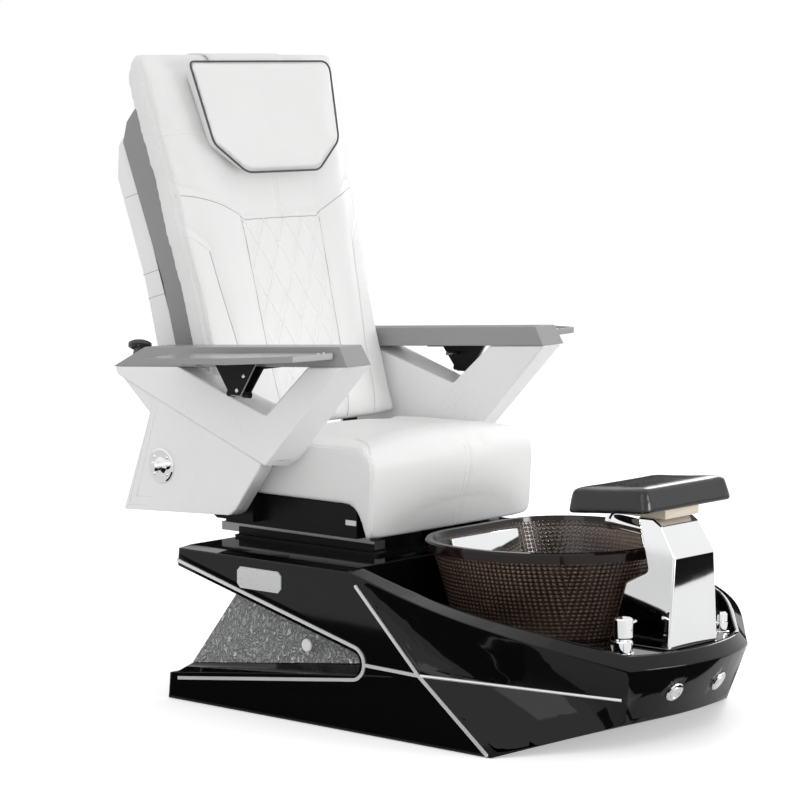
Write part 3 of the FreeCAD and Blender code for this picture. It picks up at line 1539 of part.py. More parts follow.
def build_tray(name, side):
    """The folding side table beside the cap, its plan cut from a sloping slab."""
    near = dims.cap_outer + dims.tray_gap
    tip = near + dims.tray_tip_reach
    far = near + dims.tray_reach
    notch = near + dims.tray_notch
    plan = [(side * near, dims.tray_front_station), (side * tip, dims.tray_tip_station),
            (side * far, dims.tray_elbow_station), (side * (far - 8), dims.tray_elbow_station + 110),
            (side * far, dims.tray_back_station), (side * (near + 10), dims.tray_back_station + 40),
            (side * notch, dims.tray_back_station), (side * notch, dims.tray_notch_start),
            (side * near, dims.tray_notch_start - dims.tray_notch)]
    if side == RIGHT:
        plan = list(reversed(plan))
    prism = plate("tray_plan_" + name, "XY_Plane", plan, dims.deck_height, 2 * dims.deck_height)
    front = dims.tray_front_station - 10
    back = dims.tray_back_station + 60
    slab_points = [(front, tray_low(front)), (back, tray_low(back)),
                   (back, tray_low(back) + dims.tray_thickness), (front, tray_low(front) + dims.tray_thickness)]
    slab = side_plate("tray_slab_" + name, side, slab_points, near - 5, dims.tray_reach + 20)
    board = doc.addObject("Part::MultiCommon", "tray_board_" + name)
    board.Shapes = [prism, slab]
    tray_parts = [board, build_tray_leaf(name, side)] + build_latch_ears(name, side)
    keep(fuse("side_tray_" + name, tray_parts), "side_tray_" + name)


def build_pod():
    """The oval control ring on its flared foot, on the right arm's rear end only."""
    radius = num(dims.pod_radius)
    station = num(dims.pod_station)
    x = RIGHT * (num(dims.cap_inner) + num(dims.cap_outer)) / 2
    share = ((station - num(dims.cap_back_top_station))
             / (num(dims.cap_back_station) - num(dims.cap_back_top_station)))
    crest = num(cap_low(dims.cap_back_top_station)) + num(dims.cap_thickness)
    end = num(cap_low(dims.cap_back_station))
    tube = num(dims.pod_tube)
    rise = num(dims.pod_rise)
    wires = []
    for taper, height in ((1.0, 0), (0.6, rise - 4)):
        wide = num(dims.pod_foot_half_width) * taper
        long = num(dims.pod_foot_half_length) * taper
        wires.append(rounded([(-wide, -long), (wide, -long), (wide, long), (-wide, long)], 10 * taper, height))
    foot = Part.makeLoft(wires, True, True)
    turns = [math.radians(30 + 60 * step) for step in range(6)]
    rim = [Vector(radius - tube + tube * math.cos(turn), 0, tube * math.sin(turn)) for turn in turns]
    ring = Part.Face(Part.makePolygon(rim + [rim[0]])).revolve(Vector(0, 0, 0), Vector(0, 0, 1), 360)
    ring.Placement = Placement(Vector(0, 0, rise), Rotation(Vector(0, 0, 1), Vector(0.35, -0.2, 1)))
    shape = foot.fuse(ring)
    lean = math.degrees(math.atan2(crest - end, num(dims.cap_back_station - dims.cap_back_top_station)))
    shape.rotate(Vector(0, 0, 0), Vector(1, 0, 0), -lean)
    shape.translate(Vector(x, station, crest + (end - crest) * share))
    return solid("control_pod", shape)


def build_tray_hinge(name, side):
    """The black V hanger under the cap, its knuckles and pin, and the latch paddle of the tray."""
    middle = dims.hinge_station
    top = dims.hinge_half_top
    foot = dims.hinge_half_foot
    leaf = dims.hinge_leaf
    height = hinge_height()
    knuckle = dims.hinge_knuckle_radius
    offset = dims.hinge_offset
    plate_inner = offset - knuckle - leaf + dims.hinge_bite
    drop = height - knuckle
    web = side_plate("hanger_web_" + name, side,
                     [(middle - foot, drop), (middle + foot, drop), (middle + top, cap_low(middle + top)),
                      (middle - top, cap_low(middle - top))], plate_inner, leaf)
    flange_reach = 50
    flange = side_plate("hanger_flange_" + name, side,
                        [(middle - top, cap_low(middle - top) - leaf), (middle + top, cap_low(middle + top) - leaf),
                         (middle + top, cap_low(middle + top)), (middle - top, cap_low(middle - top))],
                        plate_inner - flange_reach, flange_reach + leaf / 2)
    lean = Rotation(Vector(1, 0, 0), -90)
    half = dims.hinge_knuckle_half
    reach = dims.hinge_half_length
    gap = dims.rest_gap
    parts = [web, flange]
    for index, start in enumerate((middle - reach, middle + half + gap)):
        parts.append(cylinder("hanger_knuckle_" + name + str(index), knuckle, reach - half - gap, side * offset,
                              start, height, lean))
    parts.append(cylinder("hanger_pin_" + name, dims.hinge_pin_radius, 2 * reach, side * offset, middle - reach,
                          height, lean))
    keep(fuse("tray_hanger_" + name, parts), "tray_hanger_" + name)
    latch_x = side * dims.latch_offset - dims.latch_width / 2
    start = dims.latch_station
    end = start + dims.latch_length
    pin_station, pin_height = latch_axis()
    along = Rotation(Vector(0, 1, 0), 90)

    def under(station, drop):
        return station, tray_low(station) - gap - drop

    paddle = plate("latch_" + name, "YZ_Plane",
                   [under(start, 8), under(start + 10, 4), under(end, 7), under(end, 3), under(start + 12, 1),
                    under(start + 4, 0)], latch_x, dims.latch_width)
    barrel = cylinder("latch_barrel_" + name, dims.latch_barrel_radius, dims.latch_width, latch_x, pin_station,
                      pin_height, along)
    bore = cylinder("latch_bore_" + name, dims.latch_pin_radius + dims.running_gap, dims.latch_width + 4,
                    latch_x - 2, pin_station, pin_height, along)
    latch = cut("tray_latch_" + name, fuse("latch_block_" + name, [paddle, barrel]), bore)
    keep(latch, "tray_latch_" + name)


def latch_axis():
    """Where the latch's pin lies under the tray: station and height."""
    return dims.latch_station + 5, tray_low(dims.latch_station) - dims.rest_gap - 4


def build_latch_ears(name, side):
    """The two ears under the tray and the pin between them."""
    station, height = latch_axis()
    ear = dims.latch_ear
    half = dims.latch_width / 2 + dims.rest_gap
    reach = dims.latch_barrel_radius + 1
    drop = tray_low(dims.latch_station) + 2 - height + reach
    ears = []
    for tag, start in (("near", 0 - half - ear), ("far", half)):
        ears.append(box("latch_ear_" + tag + "_" + name, side * dims.latch_offset + start, station - reach,
                        height - reach, ear, 2 * reach, drop))
    pin = cylinder("latch_pin_" + name, dims.latch_pin_radius, 2 * (half + ear), side * dims.latch_offset - half - ear,
                   station, height, Rotation(Vector(0, 1, 0), 90))
    return ears + [pin]


def build_tray_leaf(name, side):
    """The tray's own leaf plate and bored knuckle, which swing with it about the hanger pin."""
    middle = dims.hinge_station
    top = dims.hinge_half_top
    foot = dims.hinge_half_foot - 4
    knuckle = dims.hinge_knuckle_radius
    offset = dims.hinge_offset
    height = hinge_height()
    half = dims.hinge_knuckle_half
    inner = offset + knuckle + 0.5
    web = side_plate("leaf_web_" + name, side,
                     [(middle - foot, height - knuckle / 2), (middle + foot, height - knuckle / 2),
                      (middle + top, tray_low(middle + top)), (middle - top, tray_low(middle - top))],
                     inner, dims.hinge_leaf)
    lug = box("leaf_lug_" + name, offset if side == LEFT else -(inner + 1), middle - half, height - knuckle / 2,
              inner + 1 - offset, 2 * half, knuckle)
    barrel_radius = knuckle - dims.hinge_bite - dims.rest_gap
    barrel = cylinder("leaf_barrel_" + name, barrel_radius, 2 * half, side * offset, middle - half, height,
                      Rotation(Vector(1, 0, 0), -90))
    bore = cylinder("leaf_bore_" + name, dims.hinge_pin_radius + dims.running_gap, 2 * half + 10, side * offset,
                    middle - half - 5, height, Rotation(Vector(1, 0, 0), -90))
    solid_leaf = fuse("leaf_block_" + name, [web, lug, barrel])
    return cut("leaf_" + name, solid_leaf, bore)


# Backrest: frame, pad, grey band, rear shell, massage carriage, pillow

# shares of the pad's crown left at its upper edge and on its top
PAD_EDGE_CROWN = 0.5
PAD_TOP_CROWN = 0.4


def lean_slope():
    return math.tan(math.radians(num(dims.back_lean)))


def back_station(height, depth=0.0):
    """Station of the leaning back at a height, a given depth behind the pad's front edge."""
    return num(dims.back_front_station) + lean_slope() * (height - num(dims.back_low)) + depth


def pad_section(height, half, seam, crown, inset):
    """A level section through the back pad: two side bolsters and the crowned centre panel."""
    front = back_station(height) + inset
    rear = back_station(height, num(dims.pad_depth)) - inset * 0.5
    half = half - inset
    centre = front - crown
    nose = num(dims.pad_nose)
    spots = [Vector(-half, front + nose, height), Vector(-half + nose, front - 3, height),
             Vector(-seam, centre + 9, height), Vector(seam, centre + 9, height),
             Vector(half - nose, front - 3, height), Vector(half, front + nose, height),
             Vector(half - 2, rear, height), Vector(-half + 2, rear, height)]
    bolster = Vector(-(half + seam) / 2 + 6, (front + centre) / 2 - 9, height)
    middle = Vector(0, centre, height)
    edges = []
    for index, spot in enumerate(spots):
        after = spots[(index + 1) % len(spots)]
        if index == 1:
            edges.append(arc(spot, bolster, after))
        elif index == 2:
            edges.append(arc(spot, middle, after))
        elif index == 3:
            edges.append(arc(spot, Vector(-bolster.x, bolster.y, height), after))
        else:
            edges.append(line(spot, after))
    return Part.Wire(edges)


def make_back_pad():
    low = num(dims.back_low)
    top = num(dims.back_top)
    narrow = num(dims.pad_half_low)
    middle = num(dims.pad_half_middle)
    wide = num(dims.pad_half_high)
    seam = num(dims.panel_half_width)
    crown = num(dims.pad_crown)
    drop = num(dims.pad_edge_drop)
    inset = num(dims.pad_edge_inset)
    hip = low + num(dims.pad_hip_rise)
    arm = low + num(dims.pad_arm_rise)
    waist = low + num(dims.pad_waist_rise)
    shoulder = low + num(dims.pad_shoulder_rise)
    flare = low + num(dims.pad_flare_rise)
    brow = top - num(dims.pad_flare_drop)
    levels = [(low, narrow, seam - 20, crown * 0.4, inset), (low + drop, narrow, seam - 19, crown * 0.5, 0),
              (hip, narrow, seam - 12, crown * 0.6, 0), (arm, narrow, seam - 6, crown * 0.85, 0),
              (waist, middle, seam - 2, crown, 0), (shoulder, middle, seam + 8, crown, 0),
              (flare, middle + 8, seam + 16, crown, 0), (brow, wide - 3, seam + 32, crown * 0.7, 0),
              (top - drop, wide, seam + 40, crown * PAD_EDGE_CROWN, 0),
              (top, wide, seam + 40, crown * PAD_TOP_CROWN, inset)]
    sections = [pad_section(*level) for level in levels]
    return Part.makeLoft(sections, True, True)


def back_box(levels):
    """A leaning box through (height, half width, near depth, far depth) levels."""
    wires = []
    for height, half, near, far in levels:
        corners = [Vector(-half, back_station(height, near), height), Vector(half, back_station(height, near), height),
                   Vector(half, back_station(height, far), height), Vector(-half, back_station(height, far), height)]
        wires.append(Part.makePolygon(corners + [corners[0]]))
    return Part.makeLoft(wires, True, True)


def make_back_band():
    """The grey side band: an arch behind the pad, open below for the frame."""
    near = num(dims.pad_depth) + num(dims.rest_gap)
    far = near + num(dims.band_depth)
    low = num(dims.band_low)
    top = num(dims.band_top)
    narrow = num(dims.band_half_low)
    wide = num(dims.band_half_high)
    wall = num(dims.band_wall)
    brow = num(dims.band_brow)
    waist = low + num(dims.band_waist_rise)
    bevel = num(dims.band_bevel)
    outer = back_box([(low, narrow, near, far), (waist, narrow, near, far), (top - brow, wide, near, far),
                      (top - bevel, wide, near, far - num(dims.band_bevel_depth)), (top, wide - 6, near, near + 12)])
    inner = back_box([(low - 20, narrow - wall, near - 20, far + 20),
                      (waist, narrow - wall, near - 20, far + 20),
                      (top - brow - wall, wide - wall, near - 20, far + 20)])
    return outer.cut(inner)


def make_back_shell():
    """The white rear cover, a shallow cup that closes the band from behind."""
    near = num(dims.pad_depth) + num(dims.band_depth) + 2 * num(dims.rest_gap)
    depth = num(dims.shell_depth)
    low = num(dims.band_low)
    top = num(dims.shell_top)
    narrow = num(dims.shell_half_low)
    wide = num(dims.shell_half_high)
    wall = num(dims.shell_wall)
    waist = low + num(dims.band_waist_rise)
    lip = top - num(dims.shell_lip_drop)
    levels = [(low, narrow - 10, near, near + depth * 0.7),
              (low + num(dims.shell_hip_rise), narrow, near, near + depth),
              (waist, narrow, near, near + depth * 0.93),
              (top - num(dims.shell_shoulder_drop), wide, near, near + depth * 0.8),
              (lip, wide, near, near + depth * 0.45), (top, wide - 6, near, near + depth * 0.1)]
    outer = back_box(levels)
    inner = back_box([(max(height, low + wall), half - wall, near - 5, far - wall) for height, half, near, far
                      in levels[:4]] + [(lip - wall, wide - wall, near - 5, near + depth * 0.45 - wall)])
    return outer.cut(inner)


def make_back_frame():
    bar = num(dims.back_frame_bar)
    near = num(dims.pad_depth + dims.rest_gap)
    station = num(dims.recline_station)
    height = num(dims.recline_height)
    top = num(dims.band_top - dims.band_brow - dims.band_wall - dims.side_gap)
    start = num(dims.band_low)
    reach = num(dims.recline_radius) + 8
    offset = num(dims.back_frame_offset)
    corners = [Vector(0, station - reach, height), Vector(0, station - reach * 0.5, height - reach),
               Vector(0, station + reach * 0.6, height - reach), Vector(0, back_station(start, near + bar), start),
               Vector(0, back_station(top, near + bar), top), Vector(0, back_station(top, near), top),
               Vector(0, back_station(start, near), start), Vector(0, station - reach * 0.4, height + reach + 12)]
    upright = Part.Face(Part.makePolygon(corners + [corners[0]])).extrude(Vector(bar, 0, 0))
    shape = None
    for side in SIDES.values():
        piece = upright.copy()
        piece.translate(Vector(offset if side == LEFT else -offset - bar, 0, 0))
        shape = piece if shape is None else shape.fuse(piece)
    for level in (start + 20, top - bar):
        shape = shape.fuse(back_box([(level, offset + 1, near, near + bar), (level + bar, offset + 1, near, near + bar)]))
    run = Vector(0, lean_slope(), 1).normalize()
    for side in SIDES.values():
        foot = Vector(side * num(dims.massage_rail_offset), back_station(start + 22, near + bar / 2), start + 22)
        rod = Part.makeCylinder(num(dims.massage_rail_radius), (top - start - 24) / run.z, foot, run)
        shape = shape.fuse(rod)
    bore = Part.makeCylinder(num(dims.recline_radius + dims.running_gap), 2 * offset + 100,
                             Vector(-offset - 50, station, height), Vector(1, 0, 0))
    return shape.cut(bore).removeSplitter()


def make_massage_carriage():
    """The travelling block with its four kneading rollers, bored for the two rods."""
    bar = num(dims.back_frame_bar)
    near = num(dims.pad_depth + dims.rest_gap)
    low = num(dims.massage_low)
    high = low + num(dims.massage_height)
    half = num(dims.massage_half_width)
    front = near + num(dims.rest_gap)
    rear = near + bar + num(dims.massage_motor_depth)
    shape = back_box([(low, half, front, rear), (high, half, front, rear)])
    run = Vector(0, lean_slope(), 1).normalize()
    start = low - (high - low) / 2
    for side in SIDES.values():
        foot = Vector(side * num(dims.massage_rail_offset), back_station(start, near + bar / 2), start)
        rod = Part.makeCylinder(num(dims.massage_rail_radius + dims.running_gap), 3 * (high - low), foot, run)
        shape = shape.cut(rod)
    return shape


def make_pillow():
    """A shield-shaped pillow: full at its piping, drawn in to the face, tilted with the back."""
    low = num(dims.pillow_foot)
    cosine = math.cos(math.radians(num(dims.back_lean)))
    shoulder = (num(dims.pillow_shoulder) - low) / cosine
    top = (num(dims.pillow_top) - low) / cosine
    half_top = num(dims.pillow_half_top)
    half_shoulder = num(dims.pillow_half_shoulder)
    half_foot = num(dims.pillow_half_foot)
    thick = num(dims.pillow_thickness)
    wires = []
    draw = num(dims.pillow_draw)
    for share, inset in ((0.0, draw * 0.23), (0.3, draw * 0.05), (0.5, 0), (0.72, draw * 0.14),
                         (0.9, draw * 0.45), (1.0, draw)):
        points = [(-half_foot + inset * 0.6, inset), (half_foot - inset * 0.6, inset),
                  (half_shoulder - inset, shoulder + inset * 0.3), (half_top - inset, top - inset),
                  (inset - half_top, top - inset), (inset - half_shoulder, shoulder + inset * 0.3)]
        wires.append(rounded(points, num(dims.pillow_corner), share * thick))
    shape = Part.makeLoft(wires, True, True)
    shape.rotate(Vector(0, 0, 0), Vector(1, 0, 0), 90 - num(dims.back_lean))
    shape.translate(Vector(0, back_station(low) - num(dims.pad_crown + dims.rest_gap), low))
    return shape


def make_pillow_flap():
    """The leather flap sewn to the pillow's back: up its rear, over the top of the pad and down behind it."""
    top = num(dims.back_top)
    thick = num(dims.flap_thickness)
    gap = num(dims.rest_gap)
    depth = num(dims.pad_depth)
    crown = num(dims.pad_crown)
    lower = top - num(dims.flap_drop)
    foot = num(dims.pillow_top) - num(dims.flap_tail)
    edge = top - num(dims.pad_edge_drop)
    fold = num(dims.pillow_top)
    brow = back_station(top, num(dims.pad_edge_inset)) - crown * PAD_TOP_CROWN
    nose = back_station(edge) - crown * PAD_EDGE_CROWN
    inner = [(back_station(lower, depth) + gap, lower), (back_station(top, depth) + gap, top + gap),
             (brow - gap, top + gap), (nose - gap, edge + gap), (back_station(fold) - crown + thick, fold),
             (back_station(foot) - crown + thick, foot)]
    outer = [(back_station(foot) - crown, foot), (back_station(fold) - crown, fold),
             (nose - gap - thick, edge + gap + thick), (brow - gap - thick / 2, top + gap + thick),
             (back_station(top, depth) + gap + thick, top + gap + thick),
             (back_station(lower, depth) + gap + thick, lower)]
    points = [Vector(0, station, height) for station, height in inner + outer]
    half = num(dims.flap_half_width)
    shape = Part.Face(Part.makePolygon(points + [points[0]])).extrude(Vector(2 * half, 0, 0))
    shape.translate(Vector(-half, 0, 0))
    return shape


def build_back():
    keep(solid("back_frame", make_back_frame()), "back_frame")
    keep(solid("back_pad", make_back_pad()), "back_pad")
    keep(solid("back_band", make_back_band()), "back_band")
    keep(solid("back_shell", make_back_shell()), "back_shell")
    keep(solid("massage_carriage", make_massage_carriage()), "massage_carriage")
    keep(solid("pillow", make_pillow()), "pillow")
    keep(solid("pillow_flap", make_pillow_flap()), "pillow_flap")


build_base()
build_chassis()
build_basin()
build_column()
build_tap()
build_spray()
build_buttons()
build_knobs()
build_slide()
build_runners()
build_seat_frame()
build_seat_cushion()
for side_name, side_sign in SIDES.items():
    build_arm(side_name, side_sign)
    build_tray(side_name, side_sign)
    build_tray_hinge(side_name, side_sign)
keep(build_pod(), "control_pod")
build_back()

# Checks and export

doc.recompute()
for item in doc.Objects:
    if "Invalid" in item.State or "Error" in item.State:
        raise RuntimeError(item.Name + " did not compute")
labels = set()
for item in nodes:
    shape = item.Shape
    if shape.isNull() or not shape.isValid() or len(shape.Solids) != 1 or item.Label in labels:
        raise RuntimeError(item.Label + " is not one sound solid")
    labels.add(item.Label)
os.makedirs("parts", exist_ok=True)
for item in nodes:
    item.Shape.exportStep("parts/" + item.Label + ".step")
print("sub-parts written:", len(nodes))
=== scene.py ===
"""Pedicure spa chair: upholstery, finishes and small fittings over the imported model."""

import math

import bmesh
import bpy
import numpy as np
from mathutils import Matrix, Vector, noise
from mathutils.bvhtree import BVHTree


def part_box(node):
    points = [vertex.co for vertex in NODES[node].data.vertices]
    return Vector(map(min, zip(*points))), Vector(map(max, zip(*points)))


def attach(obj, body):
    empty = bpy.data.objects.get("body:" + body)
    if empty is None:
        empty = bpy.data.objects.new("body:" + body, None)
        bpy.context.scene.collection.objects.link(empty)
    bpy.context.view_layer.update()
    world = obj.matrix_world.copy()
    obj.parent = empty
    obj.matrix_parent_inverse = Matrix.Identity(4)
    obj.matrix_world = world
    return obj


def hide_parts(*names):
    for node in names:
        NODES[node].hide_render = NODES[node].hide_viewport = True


bl_info = {
    "name": "Pedicure spa chair",
    "version": (1, 0, 0),
    "blender": (4, 5, 0),
    "location": "3D View > Sidebar > Spa chair",
    "description": "Dresses the packed spa chair with upholstery, finishes and small fittings",
    "category": "Add Mesh",
}

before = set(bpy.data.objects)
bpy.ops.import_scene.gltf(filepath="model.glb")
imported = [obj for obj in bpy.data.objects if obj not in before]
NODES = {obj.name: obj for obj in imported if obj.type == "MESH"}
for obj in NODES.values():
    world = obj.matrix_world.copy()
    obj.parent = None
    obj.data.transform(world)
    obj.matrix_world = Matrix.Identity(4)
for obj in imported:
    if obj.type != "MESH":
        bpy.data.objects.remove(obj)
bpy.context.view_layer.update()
MM = 0.001
SIDES = {"right": -1, "left": 1}

# The leaning back, in millimetres; each table gives a value at heights

LEAN = math.radians(15.6)
BACK_INWARDS = (0, math.cos(LEAN), -math.sin(LEAN))
BACK_LOW = 570
BACK_TOP = 1398
BACK_FRONT = 370
PAD_DEPTH = 62
PAD_CROWN = 26
PAD_EDGE = 16
PAD_CORNERS = (26, 42)
PAD_HALVES = ((570, 281), (900, 281), (1010, 291), (1130, 292), (1172, 299), (1298, 311), (1398, 314))
PAD_CROWNS = ((570, 0.4), (745, 0.6), (900, 0.85), (1010, 1.0), (1170, 1.0), (1298, 0.75), (1398, 0.5))
PANEL_HALVES = ((570, 106), (745, 114), (900, 121), (1050, 128))
PILLOW_FOOT = 1136
PILLOW_WELT = 40
FLAP_HALF = 120


# Small helpers

def at(value, table):
    """Straight interpolation in a table of (place, value) pairs."""
    places, values = zip(*table)
    return float(np.interp(value, places, values))


def back_station(height):
    """Where the leaning back's front plane lies along Y at a height."""
    return BACK_FRONT + math.tan(LEAN) * (height - BACK_LOW)


def back_point(x, height, depth):
    """A point behind the back's front plane by a depth, at a height."""
    return Vector((x, back_station(height) + depth, height))


def pillow_point(x, along, out):
    """A point on the pillow: along the slope from its foot, and out from the pad."""
    y = back_station(PILLOW_FOOT) - PAD_CROWN - 0.3
    return Vector((x, y + along * math.sin(LEAN) - out * math.cos(LEAN),
                   PILLOW_FOOT + along * math.cos(LEAN) + out * math.sin(LEAN)))


def smooth(low, high, value):
    """A soft step from 0 at low to 1 at high; low may be the larger."""
    share = np.clip((value - low) / (high - low), 0.0, 1.0)
    return share * share * (3 - 2 * share)


def turns(count):
    """Even angles round a full circle."""
    return [2 * math.pi * step / count for step in range(count)]


def ripples(places, scales, seed, fall, gap=2.0):
    """Soft irregular waves at 2-D places, with a scale along each of their axes."""
    return np.array([noise.fractal(Vector((first * scales[0], second * scales[1], seed)), fall, gap, 3)
                     for first, second in places])


def linked(name, data):
    """A new object in the scene."""
    thing = bpy.data.objects.new(name, data)
    bpy.context.scene.collection.objects.link(thing)
    return thing


def finish(name):
    """A finish of this file, by the name it was made with."""
    return bpy.data.materials[name + "_finish"]


def piece_from(name, mesh, body, coat, stands_for=()):
    """Link a mesh as a piece with a finish, which rides on a body and may stand for CAD nodes."""
    piece = linked(name, mesh)
    mesh.materials.clear()
    mesh.materials.append(finish(coat))
    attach(piece, body)
    if stands_for:
        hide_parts(*stands_for)
    return piece


def mesh_from(name, points, faces, edges=(), outward=True, shaded=True):
    """A mesh from points in millimetres."""
    mesh = bpy.data.meshes.new(name)
    mesh.from_pydata([tuple(c * MM for c in point) for point in points], list(edges), faces)
    if faces and outward:
        form = bmesh.new()
        form.from_mesh(mesh)
        bmesh.ops.remove_doubles(form, verts=form.verts, dist=1e-6)
        bmesh.ops.recalc_face_normals(form, faces=form.faces)
        form.to_mesh(mesh)
        form.free()
    if shaded:
        mesh.shade_smooth()
    return mesh


def lofted(rings):
    """Points and faces through closed rings of equal length, with both ends closed."""
    points = [point for ring in rings for point in ring]
    count = len(rings[0])
    faces = []
    for level in range(len(rings) - 1):
        base = level * count
        for index in range(count):
            after = (index + 1) % count
            faces.append((base + index, base + after, base + count + after, base + count + index))
    faces.append(tuple(range(count)))
    last = (len(rings) - 1) * count
    faces.append(tuple(last + index for index in range(count)))
    return points, faces


def tube_mesh(name, path, radius, closed=False, sides=8):
    """A round tube along a path in millimetres, closed in a loop or capped at both ends."""
    path = [Vector(point) for point in path]
    count = len(path)
    rings = []
    turn = None
    for index, point in enumerate(path):
        before = path[index - 1] if closed or index else point
        after = path[(index + 1) % count] if closed or index < count - 1 else point
        along = (after - before).normalized()
        if turn is None:
            turn = along.orthogonal().normalized()
        turn = (turn - along * turn.dot(along)).normalized()
        other = along.cross(turn)
        rings.append([point + radius * (math.cos(a) * turn + math.sin(a) * other) for a in turns(sides)])
    points = [point for ring in rings for point in ring]
    faces = []
    for level in range(count if closed else count - 1):
        base = level * sides
        above = ((level + 1) % count) * sides
        for side in range(sides):
            after = (side + 1) % sides
            faces.append((base + side, base + after, above + after, above + side))
    if not closed:
        faces.append(tuple(range(sides)))
        faces.append(tuple((count - 1) * sides + side for side in range(sides)))
    return mesh_from(name, points, faces)


def turned_mesh(name, profile, sides=24):
    """A solid of revolution about Z from (radius, height) pairs in millimetres."""
    points, faces = lofted([[(max(radius, 0.001) * math.cos(a), max(radius, 0.001) * math.sin(a), height)
                             for a in turns(sides)] for radius, height in profile])
    return mesh_from(name, points, faces, shaded=False)


def plate_mesh(name, outline, *sides):
    """A plate of four (y, z) corners between two places along X, in millimetres."""
    points = [(x, y, z) for x in sides for y, z in outline]
    faces = [(0, 1, 2, 3), (4, 7, 6, 5)] + [(i, 4 + i, 4 + (i + 1) % 4, (i + 1) % 4) for i in range(4)]
    return mesh_from(name, points, faces, shaded=False)


def spread(path, pitch):
    """The path's points at an even pitch."""
    path = [Vector(point) for point in path]
    out = [path[0]]
    for start, end in zip(path, path[1:]):
        steps = max(1, int(round((end - start).length / pitch)))
        out.extend(start.lerp(end, (step + 1) / steps) for step in range(steps))
    return out


def surface_of(piece):
    """The piece's surface, for laying seams on it."""
    form = bmesh.new()
    form.from_mesh(piece.data)
    tree = BVHTree.FromBMesh(form)
    form.free()
    return tree


def laid(tree, points, direction, lift=0.35, reach=120):
    """Points dropped on a surface along a direction, all in millimetres; a miss is left out."""
    direction = Vector(direction).normalized()
    out = []
    for point in points:
        start = (Vector(point) - direction * reach) * MM
        hit, normal, _, _ = tree.ray_cast(start, direction, 2 * reach * MM)
        if hit is not None:
            out.append((hit + normal * lift * MM) / MM)
    return out


def baked(holder):
    """The evaluated result of an object with its modifiers, as a plain mesh; the holder goes."""
    bpy.context.view_layer.update()
    evaluated = holder.evaluated_get(bpy.context.evaluated_depsgraph_get())
    mesh = bpy.data.meshes.new_from_object(evaluated)
    bpy.data.objects.remove(holder)
    return mesh


# Geometry Nodes for what repeats

def repeating_tree(name, source, result, inputs):
    """A tree with the shared end of both: turned instances on points, made real, in the last input's material.

    Each input is its name, kind, default and lowest value."""
    tree = bpy.data.node_groups.new(name, "GeometryNodeTree")
    socket = tree.interface.new_socket
    socket(source, in_out="INPUT", socket_type="NodeSocketGeometry")
    socket(result, in_out="OUTPUT", socket_type="NodeSocketGeometry")
    for label, kind, value, low in inputs:
        made = socket(label, in_out="INPUT", socket_type="NodeSocket" + kind)
        if value is not None:
            made.default_value = value
            made.min_value = low
    add, join = tree.nodes.new, tree.links.new
    entry = add("NodeGroupInput")
    turn = add("FunctionNodeAlignRotationToVector")
    turn.axis = "Z"
    place = add("GeometryNodeInstanceOnPoints")
    real = add("GeometryNodeRealizeInstances")
    coat = add("GeometryNodeSetMaterial")
    leave = add("NodeGroupOutput")
    join(turn.outputs[0], place.inputs["Rotation"])
    join(place.outputs[0], real.inputs[0])
    join(real.outputs[0], coat.inputs["Geometry"])
    join(entry.outputs[inputs[-1][0]], coat.inputs["Material"])
    join(coat.outputs[0], leave.inputs[0])
    return tree, entry, turn, place


def stitch_tree():
    """Stitches along every edge path of the input: named Pitch, Length, Thickness and Thread."""
    tree, entry, turn, place = repeating_tree(
        "stitches_along_paths", "Paths", "Stitches",
        (("Pitch", "Float", 0.006, 0.001), ("Length", "Float", 0.0046, 0.0005),
         ("Thickness", "Float", 0.0005, 0.0001), ("Thread", "Material", None, None)))
    add, join = tree.nodes.new, tree.links.new
    curve = add("GeometryNodeMeshToCurve")
    even = add("GeometryNodeResampleCurve")
    even.mode = "LENGTH"
    stitch = add("GeometryNodeMeshCylinder")
    stitch.fill_type = "TRIANGLE_FAN"
    stitch.inputs["Vertices"].default_value = 5
    tangent = add("GeometryNodeInputTangent")
    join(entry.outputs["Paths"], curve.inputs[0])
    join(curve.outputs[0], even.inputs["Curve"])
    join(entry.outputs["Pitch"], even.inputs["Length"])
    join(entry.outputs["Thickness"], stitch.inputs["Radius"])
    join(entry.outputs["Length"], stitch.inputs["Depth"])
    join(tangent.outputs[0], turn.inputs["Vector"])
    join(even.outputs[0], place.inputs["Points"])
    join(stitch.outputs["Mesh"], place.inputs["Instance"])
    return tree


def fitting_tree():
    """A fitting on every point, turned to the point's aim: named Fitting, Size and Finish."""
    tree, entry, turn, place = repeating_tree(
        "fittings_on_points", "Points", "Fittings",
        (("Fitting", "Object", None, None), ("Size", "Float", 1.0, 0.01), ("Finish", "Material", None, None)))
    add, join = tree.nodes.new, tree.links.new
    shape = add("GeometryNodeObjectInfo")
    aim = add("GeometryNodeInputNamedAttribute")
    aim.data_type = "FLOAT_VECTOR"
    aim.inputs["Name"].default_value = "aim"
    join(entry.outputs["Fitting"], shape.inputs["Object"])
    join(aim.outputs["Attribute"], turn.inputs["Vector"])
    join(entry.outputs["Points"], place.inputs["Points"])
    join(shape.outputs["Geometry"], place.inputs["Instance"])
    join(entry.outputs["Size"], place.inputs["Scale"])
    return tree


def grown(name, mesh, tree, values):
    """Run a tree on a mesh with its named inputs set, and give the result as a plain mesh."""
    holder = linked(name + "_holder", mesh)
    modifier = holder.modifiers.new("grow", "NODES")
    modifier.node_group = tree
    for socket in tree.interface.items_tree:
        if socket.in_out == "INPUT" and socket.name in values:
            modifier[socket.identifier] = values[socket.name]
    result = baked(holder)
    result.name = name
    return result


